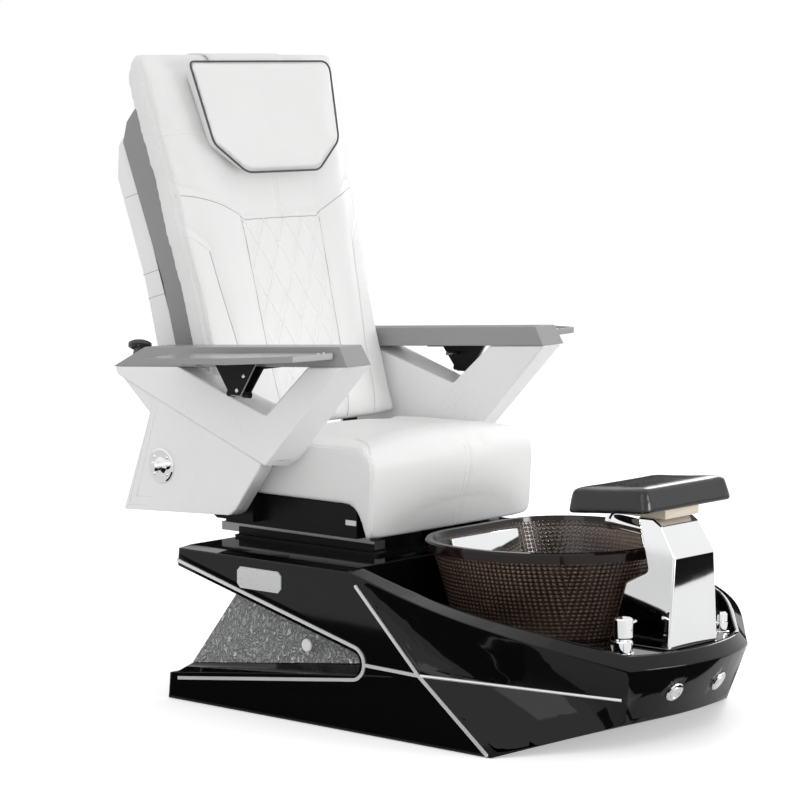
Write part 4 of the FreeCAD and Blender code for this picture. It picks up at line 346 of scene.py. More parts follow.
def stitched(name, runs, body, thread, look):
    """Stitches along runs of points in millimetres, as one piece on a body."""
    points = []
    edges = []
    for run in runs:
        start = len(points)
        points.extend(run)
        edges.extend((start + index, start + index + 1) for index in range(len(run) - 1))
    mesh = mesh_from(name + "_paths", points, [], edges, shaded=False)
    tree = bpy.data.node_groups.get("stitches_along_paths") or stitch_tree()
    result = grown(name, mesh, tree, {"Pitch": look.stitch_pitch, "Length": look.stitch_length,
                                      "Thickness": look.stitch_thickness, "Thread": finish(thread)})
    result.shade_smooth()
    return piece_from(name, result, body, thread)


def fitted(name, fitting, places, body, coat, size=1.0):
    """Copies of a small fitting at (point, aim) places in millimetres, as one piece on a body."""
    mesh = mesh_from(name + "_points", [place[0] for place in places], [], shaded=False)
    aims = mesh.attributes.new("aim", "FLOAT_VECTOR", "POINT")
    for index, (_, aim) in enumerate(places):
        aims.data[index].vector = Vector(aim).normalized()
    tree = bpy.data.node_groups.get("fittings_on_points") or fitting_tree()
    maker = linked(name + "_fitting", fitting)
    result = grown(name, mesh, tree, {"Fitting": maker, "Size": size, "Finish": finish(coat)})
    bpy.data.objects.remove(maker)
    return piece_from(name, result, body, coat)


# Cushions

CLOTH_PRESSURE = 4.0
CLOTH_FRAMES = 20


def remeshed(mesh, voxel):
    """The mesh made again of even faces, voxel millimetres wide."""
    holder = linked("cushion_core", mesh)
    modifier = holder.modifiers.new("even", "REMESH")
    modifier.mode = "VOXEL"
    modifier.voxel_size = voxel * MM
    return baked(holder)


def vertex_values(mesh, kind):
    """The mesh's points ("co") or normals ("normal"), a row each."""
    flat = np.empty(len(mesh.vertices) * 3)
    mesh.vertices.foreach_get(kind, flat)
    return flat.reshape(-1, 3)


def set_coordinates(mesh, points):
    """Put the mesh's points at these places, in metres."""
    mesh.vertices.foreach_set("co", points.reshape(-1))
    mesh.update()


def evened(mesh, field, rounds):
    """A value per point, averaged with its neighbours several times."""
    pairs = np.empty(len(mesh.edges) * 2, dtype=np.int32)
    mesh.edges.foreach_get("vertices", pairs)
    first, second = pairs[0::2], pairs[1::2]
    count = np.maximum(np.bincount(pairs, minlength=len(field)), 1)[:, None]
    for _ in range(rounds):
        total = np.zeros_like(field)
        np.add.at(total, first, field[second])
        np.add.at(total, second, field[first])
        field = 0.35 * field + 0.65 * total / count
    return field


def stuffed(name, points, faces, voxel, cap, freedom, rounds=10):
    """A cushion's mesh swollen by cloth pressure by at most cap millimetres.

    The function freedom gives each point's share of that from 0 to 1, from its place and normal; rounds says how often
    the swelling is averaged with that of the points around."""
    core = remeshed(mesh_from(name, points, faces), voxel)
    start = vertex_values(core, "co")
    share = freedom(start / MM, vertex_values(core, "normal"))
    holder = linked(name + "_cloth", core)
    scene = bpy.context.scene
    held = holder.vertex_groups.new(name="held")
    for index in np.nonzero(share < 0.02)[0]:
        held.add([int(index)], 1.0, "REPLACE")
    modifier = holder.modifiers.new("cloth", "CLOTH")
    settings = modifier.settings
    settings.use_pressure = True
    settings.uniform_pressure_force = CLOTH_PRESSURE
    settings.quality = 4
    settings.mass = 0.3
    settings.tension_stiffness = settings.compression_stiffness = 12
    settings.shear_stiffness = 5
    settings.bending_stiffness = 0.6
    settings.effector_weights.gravity = 0.0
    settings.vertex_group_mass = "held"
    modifier.point_cache.frame_start = 1
    modifier.point_cache.frame_end = CLOTH_FRAMES
    for number in range(1, CLOTH_FRAMES + 1):
        scene.frame_set(number)
    evaluated = holder.evaluated_get(bpy.context.evaluated_depsgraph_get())
    moved = vertex_values(evaluated.data, "co") - start
    length = np.linalg.norm(moved, axis=1, keepdims=True)
    moved *= np.minimum(1.0, cap * MM / np.maximum(length, 1e-9))
    core = core.copy()
    bpy.data.objects.remove(holder)
    scene.frame_set(1)
    moved = evened(core, moved, rounds) * share[:, None]
    set_coordinates(core, start + moved)
    rounder = linked(name + "_round", core)
    modifier = rounder.modifiers.new("finer", "SUBSURF")
    modifier.levels = modifier.render_levels = 1
    result = baked(rounder)
    result.name = name
    result.shade_smooth()
    return result


def line_distance(points, path):
    """Distance of 2-D points from a path of 2-D corners."""
    best = np.full(len(points), 1e9)
    for start, end in zip(path, path[1:]):
        start = np.array(start, float)
        step = np.array(end, float) - start
        share = np.clip(((points - start) @ step) / max(step @ step, 1e-9), 0, 1)
        best = np.minimum(best, np.linalg.norm(points - start - share[:, None] * step, axis=1))
    return best


def mirrored(path):
    """A path of (x, z) or (x, y) corners on the other side."""
    return [(-x, z) for x, z in path]


# Finishes

def group_base(name, inputs, outputs):
    """A new shader group with named inputs (name, kind, default) and outputs (name, kind)."""
    group = bpy.data.node_groups.new(name, "ShaderNodeTree")
    for label, kind, value in inputs:
        socket = group.interface.new_socket(label, in_out="INPUT", socket_type=kind)
        if value is not None:
            socket.default_value = value
    for label, kind in outputs:
        group.interface.new_socket(label, in_out="OUTPUT", socket_type=kind)
    return group, group.nodes.new("NodeGroupInput"), group.nodes.new("NodeGroupOutput")


def fed(socket, value):
    """Link a node's input to a socket, or set it to a plain value."""
    if isinstance(value, bpy.types.NodeSocket):
        socket.id_data.links.new(value, socket)
    else:
        socket.default_value = value


def sum_node(nodes, operation, *values):
    """The result of a maths node on numbers or sockets."""
    node = nodes.new("ShaderNodeMath")
    node.operation = operation
    for index, value in enumerate(values):
        fed(node.inputs[index], value)
    return node.outputs[0]


def noise_at(nodes, vector, scale, detail, distortion=0.0):
    """The value of a noise texture at a vector."""
    texture = nodes.new("ShaderNodeTexNoise")
    for label, value in (("Vector", vector), ("Scale", scale), ("Detail", detail), ("Distortion", distortion)):
        fed(texture.inputs[label], value)
    return texture.outputs["Fac"]


def stretched(nodes, vector, scale):
    """The vector scaled along its axes."""
    mapping = nodes.new("ShaderNodeMapping")
    fed(mapping.inputs["Vector"], vector)
    mapping.inputs["Scale"].default_value = scale
    return mapping.outputs["Vector"]


def leather_grain_group():
    """Fine pebble grain with soft stretch marks: Height, Roughness and Tone."""
    group, entry, leave = group_base(
        "leather_grain",
        [("Vector", "NodeSocketVector", None), ("Grain Size", "NodeSocketFloat", 0.0016),
         ("Roughness", "NodeSocketFloat", 0.45)],
        [("Height", "NodeSocketFloat"), ("Roughness", "NodeSocketFloat"), ("Tone", "NodeSocketFloat")])
    nodes, place = group.nodes, entry.outputs["Vector"]
    scale = sum_node(nodes, "DIVIDE", 1.0, entry.outputs["Grain Size"])
    cells = nodes.new("ShaderNodeTexVoronoi")
    cells.feature = "SMOOTH_F1"
    cells.inputs["Smoothness"].default_value = 0.5
    fed(cells.inputs["Vector"], place)
    fed(cells.inputs["Scale"], scale)
    fine = noise_at(nodes, place, sum_node(nodes, "MULTIPLY", scale, 2.3), 3)
    broad = noise_at(nodes, place, 9, 4)
    fed(leave.inputs["Height"], sum_node(nodes, "MULTIPLY_ADD", fine, 0.4, cells.outputs["Distance"]))
    shift = sum_node(nodes, "MULTIPLY_ADD", broad, 0.16, -0.08)
    shift = sum_node(nodes, "MULTIPLY_ADD", cells.outputs["Distance"], 0.12, shift)
    fed(leave.inputs["Roughness"], sum_node(nodes, "ADD", entry.outputs["Roughness"], shift))
    fed(leave.inputs["Tone"], sum_node(nodes, "MULTIPLY_ADD", broad, 0.06, 0.97))


def surface_wear_group():
    """Handling marks on a hard finish: a roughness with smudges, fine ripple height and a tone."""
    group, entry, leave = group_base(
        "surface_wear",
        [("Vector", "NodeSocketVector", None), ("Roughness", "NodeSocketFloat", 0.1),
         ("Smudge", "NodeSocketFloat", 0.06), ("Ripple Size", "NodeSocketFloat", 0.01)],
        [("Roughness", "NodeSocketFloat"), ("Height", "NodeSocketFloat"), ("Tone", "NodeSocketFloat")])
    nodes, place = group.nodes, entry.outputs["Vector"]
    broad = noise_at(nodes, place, 7, 5, 0.6)
    streak = noise_at(nodes, place, 160, 2)
    smudge = sum_node(nodes, "MULTIPLY", sum_node(nodes, "MULTIPLY", broad, streak), entry.outputs["Smudge"])
    fed(leave.inputs["Roughness"], sum_node(nodes, "MULTIPLY_ADD", smudge, 2.0, entry.outputs["Roughness"]))
    fed(leave.inputs["Height"],
        noise_at(nodes, place, sum_node(nodes, "DIVIDE", 1.0, entry.outputs["Ripple Size"]), 1))
    fed(leave.inputs["Tone"], sum_node(nodes, "MULTIPLY_ADD", broad, 0.08, 0.96))


def new_finish(name):
    """A new material's nodes, shader and object coordinates.

    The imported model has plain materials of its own, so the name is kept apart from theirs."""
    material = bpy.data.materials.new(name + "_finish")
    material.use_nodes = True
    nodes = material.node_tree.nodes
    return nodes, nodes["Principled BSDF"], nodes.new("ShaderNodeTexCoord").outputs["Object"]


def toned(nodes, shader, colour, tone):
    """The base colour times a tone that changes over the surface."""
    mix = nodes.new("ShaderNodeMix")
    mix.data_type = "RGBA"
    mix.blend_type = "MULTIPLY"
    mix.inputs["Factor"].default_value = 1.0
    mix.inputs["A"].default_value = (*colour, 1.0)
    fed(mix.inputs["B"], tone)
    fed(shader.inputs["Base Color"], mix.outputs["Result"])


def bumped(nodes, shader, height, strength, distance):
    """Relief from a height, up to a distance in metres."""
    bump = nodes.new("ShaderNodeBump")
    bump.inputs["Strength"].default_value = strength
    bump.inputs["Distance"].default_value = distance
    fed(bump.inputs["Height"], height)
    fed(shader.inputs["Normal"], bump.outputs["Normal"])


def textured(nodes, group, place, **values):
    """A shader group read at a place, with its own inputs set."""
    node = nodes.new("ShaderNodeGroup")
    node.node_tree = bpy.data.node_groups[group]
    fed(node.inputs["Vector"], place)
    for label, value in values.items():
        node.inputs[label.replace("_", " ")].default_value = value
    return node.outputs


def leather(name, colour, roughness, grain=0.0016, strength=0.25):
    """Leather, vinyl or thread, with a grain of its own size in metres."""
    nodes, shader, place = new_finish(name)
    skin = textured(nodes, "leather_grain", place, Grain_Size=grain, Roughness=roughness)
    toned(nodes, shader, colour, skin["Tone"])
    fed(shader.inputs["Roughness"], skin["Roughness"])
    bumped(nodes, shader, skin["Height"], strength, 0.0004)


def hard(name, colour, roughness, smudge=0.05, ripple=0.012, strength=0.02, metal=0.0, gloss=0.5):
    """A moulded, painted or polished finish with smudges and a fine ripple."""
    nodes, shader, place = new_finish(name)
    wear = textured(nodes, "surface_wear", place, Roughness=roughness, Smudge=smudge, Ripple_Size=ripple)
    toned(nodes, shader, colour, wear["Tone"])
    fed(shader.inputs["Roughness"], wear["Roughness"])
    bumped(nodes, shader, wear["Height"], strength, 0.001)
    shader.inputs["Metallic"].default_value = metal
    shader.inputs["Specular IOR Level"].default_value = gloss


def brushed(name, colour, roughness, along, metal=1.0):
    """Metal with fine lines, drawn out by the scales along its axes."""
    nodes, shader, place = new_finish(name)
    lines = noise_at(nodes, stretched(nodes, place, along), 60, 4)
    fed(shader.inputs["Roughness"], sum_node(nodes, "MULTIPLY_ADD", lines, 0.25, roughness - 0.12))
    toned(nodes, shader, colour, sum_node(nodes, "MULTIPLY_ADD", lines, 0.12, 0.93))
    bumped(nodes, shader, lines, 0.06, 0.0004)
    shader.inputs["Metallic"].default_value = metal


FOLD_SCALE = 74
FOLD_STRETCH = (1.0, 1.35, 1.0)


def hammered(name, colour):
    """Silver-grey wrinkled paint: folds of several millimetres, with painted shade darkening their valleys."""
    nodes, shader, place = new_finish(name)
    folds = noise_at(nodes, stretched(nodes, place, FOLD_STRETCH), FOLD_SCALE, 2.5, 0.7)
    away = sum_node(nodes, "ABSOLUTE", sum_node(nodes, "SUBTRACT", folds, 0.5))
    valley = sum_node(nodes, "MINIMUM", sum_node(nodes, "MULTIPLY", away, 7.0), 1.0)
    high = sum_node(nodes, "MULTIPLY_ADD", valley, 0.35, folds)
    # The colour follows the relief's height: painted shade in the creases, lighter on the raised folds.
    toned(nodes, shader, colour, sum_node(nodes, "MULTIPLY_ADD", high, 2.6, -0.55))
    fed(shader.inputs["Roughness"], sum_node(nodes, "MULTIPLY_ADD", folds, 0.3, 0.2))
    bumped(nodes, shader, high, 1.0, 0.012)
    shader.inputs["Metallic"].default_value = 0.5


LENS_ACROSS = 0.0098
LENS_UP = 0.0086
RESIN_CLEAR = 0.82
RESIN_IOR = 1.49


def smoked_resin(name, colour):
    """Clear brown resin with rows of small square lenses, laid by the wall's own direction; its colour is painted
    darker between the lenses and lighter on them.
    """
    nodes, shader, place = new_finish(name)
    split = nodes.new("ShaderNodeSeparateXYZ")
    fed(split.inputs[0], place)
    turned = nodes.new("ShaderNodeSeparateXYZ")
    fed(turned.inputs[0], nodes.new("ShaderNodeNewGeometry").outputs["True Normal"])
    side = sum_node(nodes, "GREATER_THAN", sum_node(nodes, "ABSOLUTE", turned.outputs["X"]),
                    sum_node(nodes, "ABSOLUTE", turned.outputs["Y"]))
    across = nodes.new("ShaderNodeMix")
    across.data_type = "FLOAT"
    for label, value in (("Factor", side), ("A", split.outputs["X"]), ("B", split.outputs["Y"])):
        fed(across.inputs[label], value)
    rows = []
    for value, pitch in ((across.outputs["Result"], LENS_ACROSS), (split.outputs["Z"], LENS_UP)):
        wave = sum_node(nodes, "SINE", sum_node(nodes, "MULTIPLY", value, math.pi / pitch))
        rows.append(sum_node(nodes, "POWER", sum_node(nodes, "ABSOLUTE", wave), 2.6))
    lens = sum_node(nodes, "MULTIPLY", *rows)
    cloud = sum_node(nodes, "MULTIPLY_ADD", noise_at(nodes, place, 14, 2), 0.7, 0.65)
    # The lenses' relief also sets the colour: painted shade between them and a painted highlight on their tops, times
    # a random cloud of tone.
    toned(nodes, shader, colour, sum_node(nodes, "MULTIPLY", sum_node(nodes, "MULTIPLY_ADD", lens, 1.7, 0.2), cloud))
    fed(shader.inputs["Roughness"], sum_node(nodes, "MULTIPLY_ADD", lens, -0.1, 0.2))
    bumped(nodes, shader, lens, 0.7, 0.0015)
    shader.inputs["Transmission Weight"].default_value = RESIN_CLEAR
    shader.inputs["IOR"].default_value = RESIN_IOR


def pale_board(name, colour):
    """Light board with a faint straight grain."""
    nodes, shader, place = new_finish(name)
    grain = noise_at(nodes, stretched(nodes, place, (3, 60, 60)), 5, 6)
    toned(nodes, shader, colour, sum_node(nodes, "MULTIPLY_ADD", grain, 0.35, 0.8))
    fed(shader.inputs["Roughness"], sum_node(nodes, "MULTIPLY_ADD", grain, 0.2, 0.4))
    bumped(nodes, shader, grain, 0.15, 0.0005)


def dress(coat, *nodes):
    """Give CAD nodes a finish in their own slots."""
    for node in nodes:
        target = NODES[node]
        if not target.material_slots:
            target.data.materials.append(finish(coat))
        for place in target.material_slots:
            place.material = finish(coat)


def softened(node, name, body, coat, width, angle=12, segments=3, wider=()):
    """A copy of a node's shape with rounded edges, which stands for the node.

    Each row of wider holds the low and high corner of a box, mirrored in x, and the rounding of the edges in it, or
    0 where edges that reach into it stay sharp."""
    form = bmesh.new()
    form.from_mesh(NODES[node].data)
    bmesh.ops.remove_doubles(form, verts=form.verts, dist=3e-4)
    bmesh.ops.dissolve_limit(form, angle_limit=math.radians(0.6), verts=form.verts, edges=form.edges)
    weight = form.edges.layers.float.new("bevel_weight_edge")
    widest = max([width] + [row[2] for row in wider])
    for edge in form.edges:
        if len(edge.link_faces) != 2 or edge.calc_face_angle(0) < math.radians(angle):
            continue
        rounding = 0.0 if edge.calc_length() < 2.5 * width * MM or any(
            near.calc_length() < 1.2 * width * MM for end in edge.verts for near in end.link_edges) else width
        for low, high, wide in wider:
            within = [low[0] <= abs(end.co.x) / MM <= high[0] and low[1] <= end.co.y / MM <= high[1]
                      and low[2] <= end.co.z / MM <= high[2] for end in edge.verts]
            if all(within) or (wide == 0 and any(within)):
                rounding = wide
        edge[weight] = rounding / widest
    mesh = bpy.data.meshes.new(name)
    form.to_mesh(mesh)
    form.free()
    mesh.shade_smooth()
    piece = piece_from(name, mesh, body, coat, (node,))
    bevel = piece.modifiers.new("rounded_edges", "BEVEL")
    bevel.width = widest * MM
    bevel.segments = segments
    bevel.limit_method = "WEIGHT"
    bevel.use_clamp_overlap = False
    bevel.miter_outer = "MITER_ARC"
    even = piece.modifiers.new("even_shading", "WEIGHTED_NORMAL")
    even.keep_sharp = False
    return piece


# Seat cushion

SEAT_HALF = 271
SEAT_LOW = 379
SEAT_CREST = 595
SEAT_BACK = 343
SEAT_UNDER = 451
SEAT_NOSE_DEPTH = 46
SEAT_NOSE_HEIGHT = 48
SEAT_HEEL = 16
SEAT_ABOVE = 700
THREAD_STEP = 5


def seat_ring(x):
    """The seat's side profile at x, from the flap's foot round the front, top and back."""
    share = abs(x) / SEAT_HALF
    edge = max(0.0, (abs(x) - (SEAT_HALF - 7)) / 7)
    inset = 5 * (1 - math.sqrt(max(0.0, 1 - edge * edge)))
    bow = share ** 2.2
    front = -80 + 40 * bow + inset
    crest = SEAT_CREST - 22 * bow - inset
    turn = min(1.0, max(0.0, (abs(x) - (SEAT_HALF - 42)) / 44))
    low = SEAT_LOW + inset + 30 * (1 - math.sqrt(1 - turn * turn))
    base = SEAT_UNDER + inset * 0.4
    back = SEAT_BACK - inset
    points = []
    # front face, from the foot up to the nose
    foot = -34 + inset
    for step in range(9):
        t = step / 8
        y = foot + (front - foot) * math.sin(t * math.pi / 2) ** 0.9
        points.append((y, low + (crest - SEAT_NOSE_HEIGHT - low) * t))
    for step in range(1, 7):
        a = step / 6 * math.pi / 2
        points.append((front + SEAT_NOSE_DEPTH * (1 - math.cos(a)),
                       crest - SEAT_NOSE_HEIGHT + SEAT_NOSE_HEIGHT * math.sin(a)))
    for step in range(1, 13):
        y = front + SEAT_NOSE_DEPTH + (back - SEAT_HEEL - front - SEAT_NOSE_DEPTH) * step / 12
        dish = smooth(8, 90, y) * smooth(0, 60, SEAT_HALF - 30 - abs(x)) * 16
        points.append((y, crest - dish - 3 * step / 12))
    top = points[-1][1]
    for step in range(1, 5):
        a = step / 4 * math.pi / 2
        points.append((back - SEAT_HEEL + SEAT_HEEL * math.sin(a), top - SEAT_HEEL + SEAT_HEEL * math.cos(a)))
    points += [(back, 500), (back, base + 2), (back - 6, base)]
    for step in range(1, 5):
        points.append((back - 6 + (46 - back + 6) * step / 4, base))
    # rear face of the flap, down from the underside
    for y, fall in ((30, 1), (17, 5), (4, 17), (-6, 35), (-13, 52), (-17, 64), (-19, 71)):
        points.append((y - inset, base - fall))
    return [(x, y, z) for y, z in points]


def seat_freedom(points, facing):
    """The seat swells upwards and forwards, not where it rests on its frame."""
    share = smooth(0.0, 0.5, np.abs(facing[:, 2]) + np.abs(facing[:, 1]) + 0.4 * np.abs(facing[:, 0]))
    share *= np.where(facing[:, 2] < -0.3, 0.0, 1.0)
    share *= np.where(facing[:, 1] > 0.4, 0.15, 1.0)
    share *= 1 - 0.85 * smooth(0.5, 0.9, np.abs(facing[:, 0]))
    share *= np.where((points[:, 1] > -12) & (points[:, 2] < 462), 0.0, 1.0)
    return np.clip(share * (0.08 + 0.92 * smooth(0, 90, SEAT_HALF - np.abs(points[:, 0]))), 0, 1)


DART = [(-196, 330), (-200, 70), (-232, 10), (-262, -26)]


def carve_seat(mesh):
    """Sewn lines of the centre double seam, the border's edge and the corner darts, with soft creases."""
    points, facing = vertex_values(mesh, "co") / MM, vertex_values(mesh, "normal")
    depth = np.zeros(len(points))
    front = smooth(30, 12, points[:, 1]) * smooth(-0.3, 0.1, facing[:, 2] - facing[:, 1])
    centre = np.abs(points[:, 0])
    depth += front * (1.5 * np.exp(-(centre / 5) ** 2) + 0.8 * np.exp(-((centre - 9) / 3.5) ** 2))
    up = smooth(0.35, 0.7, facing[:, 2])
    for path in (DART, mirrored(DART)):
        depth += up * 2.2 * np.exp(-(line_distance(points[:, :2], path) / 3.6) ** 2)
    edge = np.abs(np.abs(points[:, 0]) - (SEAT_HALF - 6))
    rim = smooth(0.55, 0.75, np.maximum(facing[:, 2], -facing[:, 1])) * (points[:, 2] > 440 - 3 * points[:, 1])
    depth += rim * 0.9 * np.exp(-(edge / 2.6) ** 2)
    pull = smooth(120, 20, np.abs(np.abs(points[:, 0]) - 215)) * up
    depth += pull * 0.5 * ripples(points[:, (0, 1)], (0.02, 0.012), 3.1, 0.7)
    set_coordinates(mesh, (points - facing * depth[:, None]) * MM)


def seat_seams(tree):
    """Runs of thread on the seat: centre double seam, border double seam, corner darts."""
    down, inwards = (0, 0, -1), (0, 1, 0)
    runs = []
    for x in (-8.5, 8.5):
        top = laid(tree, [(x, 24 - t * 2, SEAT_ABOVE) for t in range(26)], down, reach=200)
        runs.append(top + laid(tree, [(x, -100, z) for z in range(565, 384, -4)], inwards, reach=200))
    for path in (DART, mirrored(DART)):
        for shift in (-5, 5):
            flat = spread([(px + shift, py, SEAT_ABOVE) for px, py in path], THREAD_STEP)
            runs.append(laid(tree, flat, down, reach=200))
    for side in (-1, 1):
        ring = seat_ring(SEAT_HALF - 8)[:27]
        outline = []
        for index in range(1, len(ring) - 1):
            along = (Vector(ring[index + 1]) - Vector(ring[index - 1])).normalized()
            outline.append((side * 330, ring[index][1] + 7 * along.z, ring[index][2] - 7 * along.y))
        runs.append(laid(tree, spread(outline, THREAD_STEP), (-side, 0, 0), reach=200))
        x = side * (SEAT_HALF - 7)
        face = [(x, -160, z) for z in range(384, 566, THREAD_STEP)]
        top = [(x, y, SEAT_ABOVE) for y in range(-8, 326, THREAD_STEP)]
        runs.append(laid(tree, face, inwards, reach=200) + laid(tree, top, down, reach=200))
    return [run for run in runs if len(run) > 2]


# Back pad

def back_ring(height, inset=0.0):
    """A level ring round the back pad: crowned front, sides and flat rear."""
    half = at(height, PAD_HALVES) - inset
    crown = at(height, PAD_CROWNS)
    panel = at(height, PANEL_HALVES)
    ring = []
    columns = 44
    for column in range(columns + 1):
        x = half * math.sin(math.pi / 2 * (2 * column / columns - 1) * 0.98) / math.sin(math.pi / 2 * 0.98)
        edge = half - abs(x)
        if edge < PAD_EDGE:
            depth = PAD_EDGE - 19 * math.sqrt(max(0.0, 1 - ((PAD_EDGE - edge) / PAD_EDGE) ** 2))
        elif abs(x) <= panel:
            depth = (-17 - 8 * (1 - (x / panel) ** 2)) * crown
        else:
            t = (abs(x) - panel) / max(half - PAD_EDGE - panel, 1)
            arch = -17 * (1 - t) * (1 - 2 * t) + -23 * 4 * t * (1 - t) + -3 * t * (2 * t - 1)
            depth = arch * crown if t < 0.9 else arch * (crown + (1 - crown) * (t - 0.9) * 10)
        ring.append(back_point(x, height, depth + inset * 1.1))
    rear = PAD_DEPTH - 0.5 - inset * 0.4
    drawn = 26 * smooth(1345, 1400, height)
    for depth in PAD_CORNERS:
        ring.append(back_point(half, height, depth - drawn * (depth - 10) / 50))
    for column in range(13):
        share = 1 - 2 * column / 12
        ring.append(back_point((half - 2) * share, height, rear - drawn * smooth(0.45, 1.0, abs(share))))
    for depth in reversed(PAD_CORNERS):
        ring.append(back_point(-half, height, depth - drawn * (depth - 10) / 50))
    return ring


# Sewn lines of the back as (x, z) corners, and its quilted diamonds

YOKE = [(-320, 1125), (-308, 1122), (-253, 1109), (-188, 1085), (-134, 1062), (-116, 1050), (0, 1050)]
YOKE += [(-x, z) for x, z in YOKE[-2::-1]]
BOLSTER = [(-312, 1041), (-268, 1019), (-236, 988), (-226, 905), (-208, 770), (-198, 580)]
PANEL = [(-127, 1050), (-122, 880), (-120, 760), (-108, 580)]
HEAD = [(-322, 1245), (-170, 1237)]
CREST = [(-142, 1404), (-140, 1375), (-138, 1300)]
QUILT_TOP = 1049
QUILT_FOOT = 640
QUILT_PITCH = 62
QUILT_RISE = 57.5
QUILT_LINES = 14
BEFORE_BACK = -80


def quilt_distance(points):
    """Distance from the diamond lines of the centre panel."""
    lean = (QUILT_TOP - points[:, 1]) * (QUILT_PITCH / 2) / QUILT_RISE
    slope = math.cos(math.atan(QUILT_PITCH / 2 / QUILT_RISE))
    numbers = [(points[:, 0] + sign * lean) / QUILT_PITCH for sign in (1, -1)]
    return np.minimum(*(np.abs(number - np.round(number)) * QUILT_PITCH * slope for number in numbers))


def back_freedom(points, facing):
    """The back swells forwards; its rear rests on the band and its top stays under the flap."""
    depth = points[:, 1] - back_station(points[:, 2])
    share = smooth(50, 20, depth) * smooth(0.3, -0.2, facing[:, 1])
    top = smooth(1392, 1360, points[:, 2])
    flap = smooth(118, 150, np.abs(points[:, 0]))
    return np.clip(share * np.maximum(top, 0.35 * flap) * (0.25 + 0.75 * np.maximum(top, flap)), 0, 1)


def carve_back(mesh, depth_of_seam):
    """Sewn lines, quilted diamonds, long pads and the gathered side strips."""
    points, facing = vertex_values(mesh, "co") / MM, vertex_values(mesh, "normal")
    plane = points[:, (0, 2)]
    ahead = smooth(0.3, 0.75, -facing[:, 1] * math.cos(LEAN) + facing[:, 2] * math.sin(LEAN))
    groove = np.zeros(len(points))
    paths = [(YOKE, 4.5, 1.0)]
    for path, width, weight in ((BOLSTER, 4.5, 0.6), (PANEL, 4.5, 1.1), (HEAD, 4.0, 0.5), (CREST, 4.0, 0.6)):
        paths += [(path, width, weight), (mirrored(path), width, weight)]
    nearest = np.full(len(points), 1e9)
    for path, width, weight in paths:
        away = line_distance(plane, path)
        nearest = np.minimum(nearest, away)
        groove += weight * np.exp(-(away / width) ** 2)
    centre = np.abs(plane[:, 0] + 5)
    head = smooth(1050, 1058, plane[:, 1]) * smooth(1150, 1130, plane[:, 1])
    groove += head * 0.8 * np.exp(-((centre - 5) / 3.5) ** 2)
    panel = np.interp(plane[:, 1], *zip(*PANEL_HALVES)) + 1
    inside = smooth(panel + 1, panel - 4, np.abs(plane[:, 0])) * smooth(1052, 1044, plane[:, 1])
    quilt = quilt_distance(plane)
    puff = smooth(0, 34, nearest) * 2.0 * (1 - inside)
    puff += inside * 2.4 * smooth(-4, 22, quilt)
    groove += inside * 0.5 * np.exp(-(quilt / 3.0) ** 2)
    move = ahead * (puff - depth_of_seam * groove)
    side = smooth(0.7, 0.95, np.abs(facing[:, 0]))
    move += side * 0.9 * ripples(points[:, (1, 2)], (0.010, 0.035), 1.7, 0.8)
    edge = np.abs(points[:, 1] - back_station(points[:, 2]) - 12)
    move -= smooth(0.5, 0.8, np.abs(facing[:, 0])) * 1.0 * np.exp(-(edge / 3.2) ** 2)
    move += ahead * (1 - inside) * 0.7 * ripples(plane, (0.011, 0.009), 6.3, 0.9, 2.1)
    set_coordinates(mesh, (points + facing * move[:, None]) * MM)


def back_seams(tree):
    """Runs of thread on the back pad's front and side strips."""
    runs = []

    def on_front(path, shifts=((0, 0),)):
        for shift_x, shift_z in shifts:
            flat = [back_point(x + shift_x, z + shift_z, BEFORE_BACK) for x, z in path]
            runs.append(laid(tree, spread(flat, THREAD_STEP), BACK_INWARDS, reach=100))

    on_front(BOLSTER, ((2.5, 0),))
    on_front(mirrored(BOLSTER), ((-2.5, 0),))
    for path, shift in ((HEAD, (0, 4)), (CREST, (4, 0))):
        on_front(path, (shift,))
        on_front(mirrored(path), (shift,))
    on_front([(0, 1056), (0, 1150)], ((0, 0), (-10, 0)))
    slope = QUILT_PITCH / 2 / QUILT_RISE
    for number in range(-QUILT_LINES, QUILT_LINES + 1):
        for sign in (1, -1):
            path = []
            for step in range(0, 96):
                z = QUILT_TOP - 2 - step * THREAD_STEP
                x = number * QUILT_PITCH + sign * (QUILT_TOP - z) * slope
                if abs(x) < at(z, PANEL_HALVES) - 4 and z > QUILT_FOOT:
                    path.append((x, z))
                elif path:
                    break
            if len(path) > 3:
                on_front(path)
    for side in (-1, 1):
        strip = [back_point(side * 400, z, 20) for z in range(600, 1384, 8)]
        runs.append(laid(tree, strip, (-side, 0, 0), reach=200))
        on_front([(side * (at(z, PAD_HALVES) - 13), z) for z in range(600, 1384, 8)])
    return [run for run in runs if len(run) > 2]


def back_seam_shade_runs(tree):
    """Where the leather turns under along the yoke and the quilted panel, as points on the front: runs for the dark
    cords of painted shade in these seam grooves.
    """
    runs = []
    for path in (YOKE[1:-1], PANEL, mirrored(PANEL), CREST, BOLSTER[2:], mirrored(BOLSTER[2:])):
        flat = [back_point(x, z, BEFORE_BACK) for x, z in path]
        runs.append(laid(tree, spread(flat, 6), BACK_INWARDS, lift=-0.45, reach=100))
    return [run for run in runs if len(run) > 2]


def joined_tubes(name, runs, radius):
    """Round cords along several runs, as one mesh."""
    form = bmesh.new()
    for run in runs:
        part = tube_mesh(name + "_part", run, radius, sides=6)
        form.from_mesh(part)
        bpy.data.meshes.remove(part)
    mesh = bpy.data.meshes.new(name)
    form.to_mesh(mesh)
    form.free()
    mesh.shade_smooth()
    return mesh


# Pillow and flap

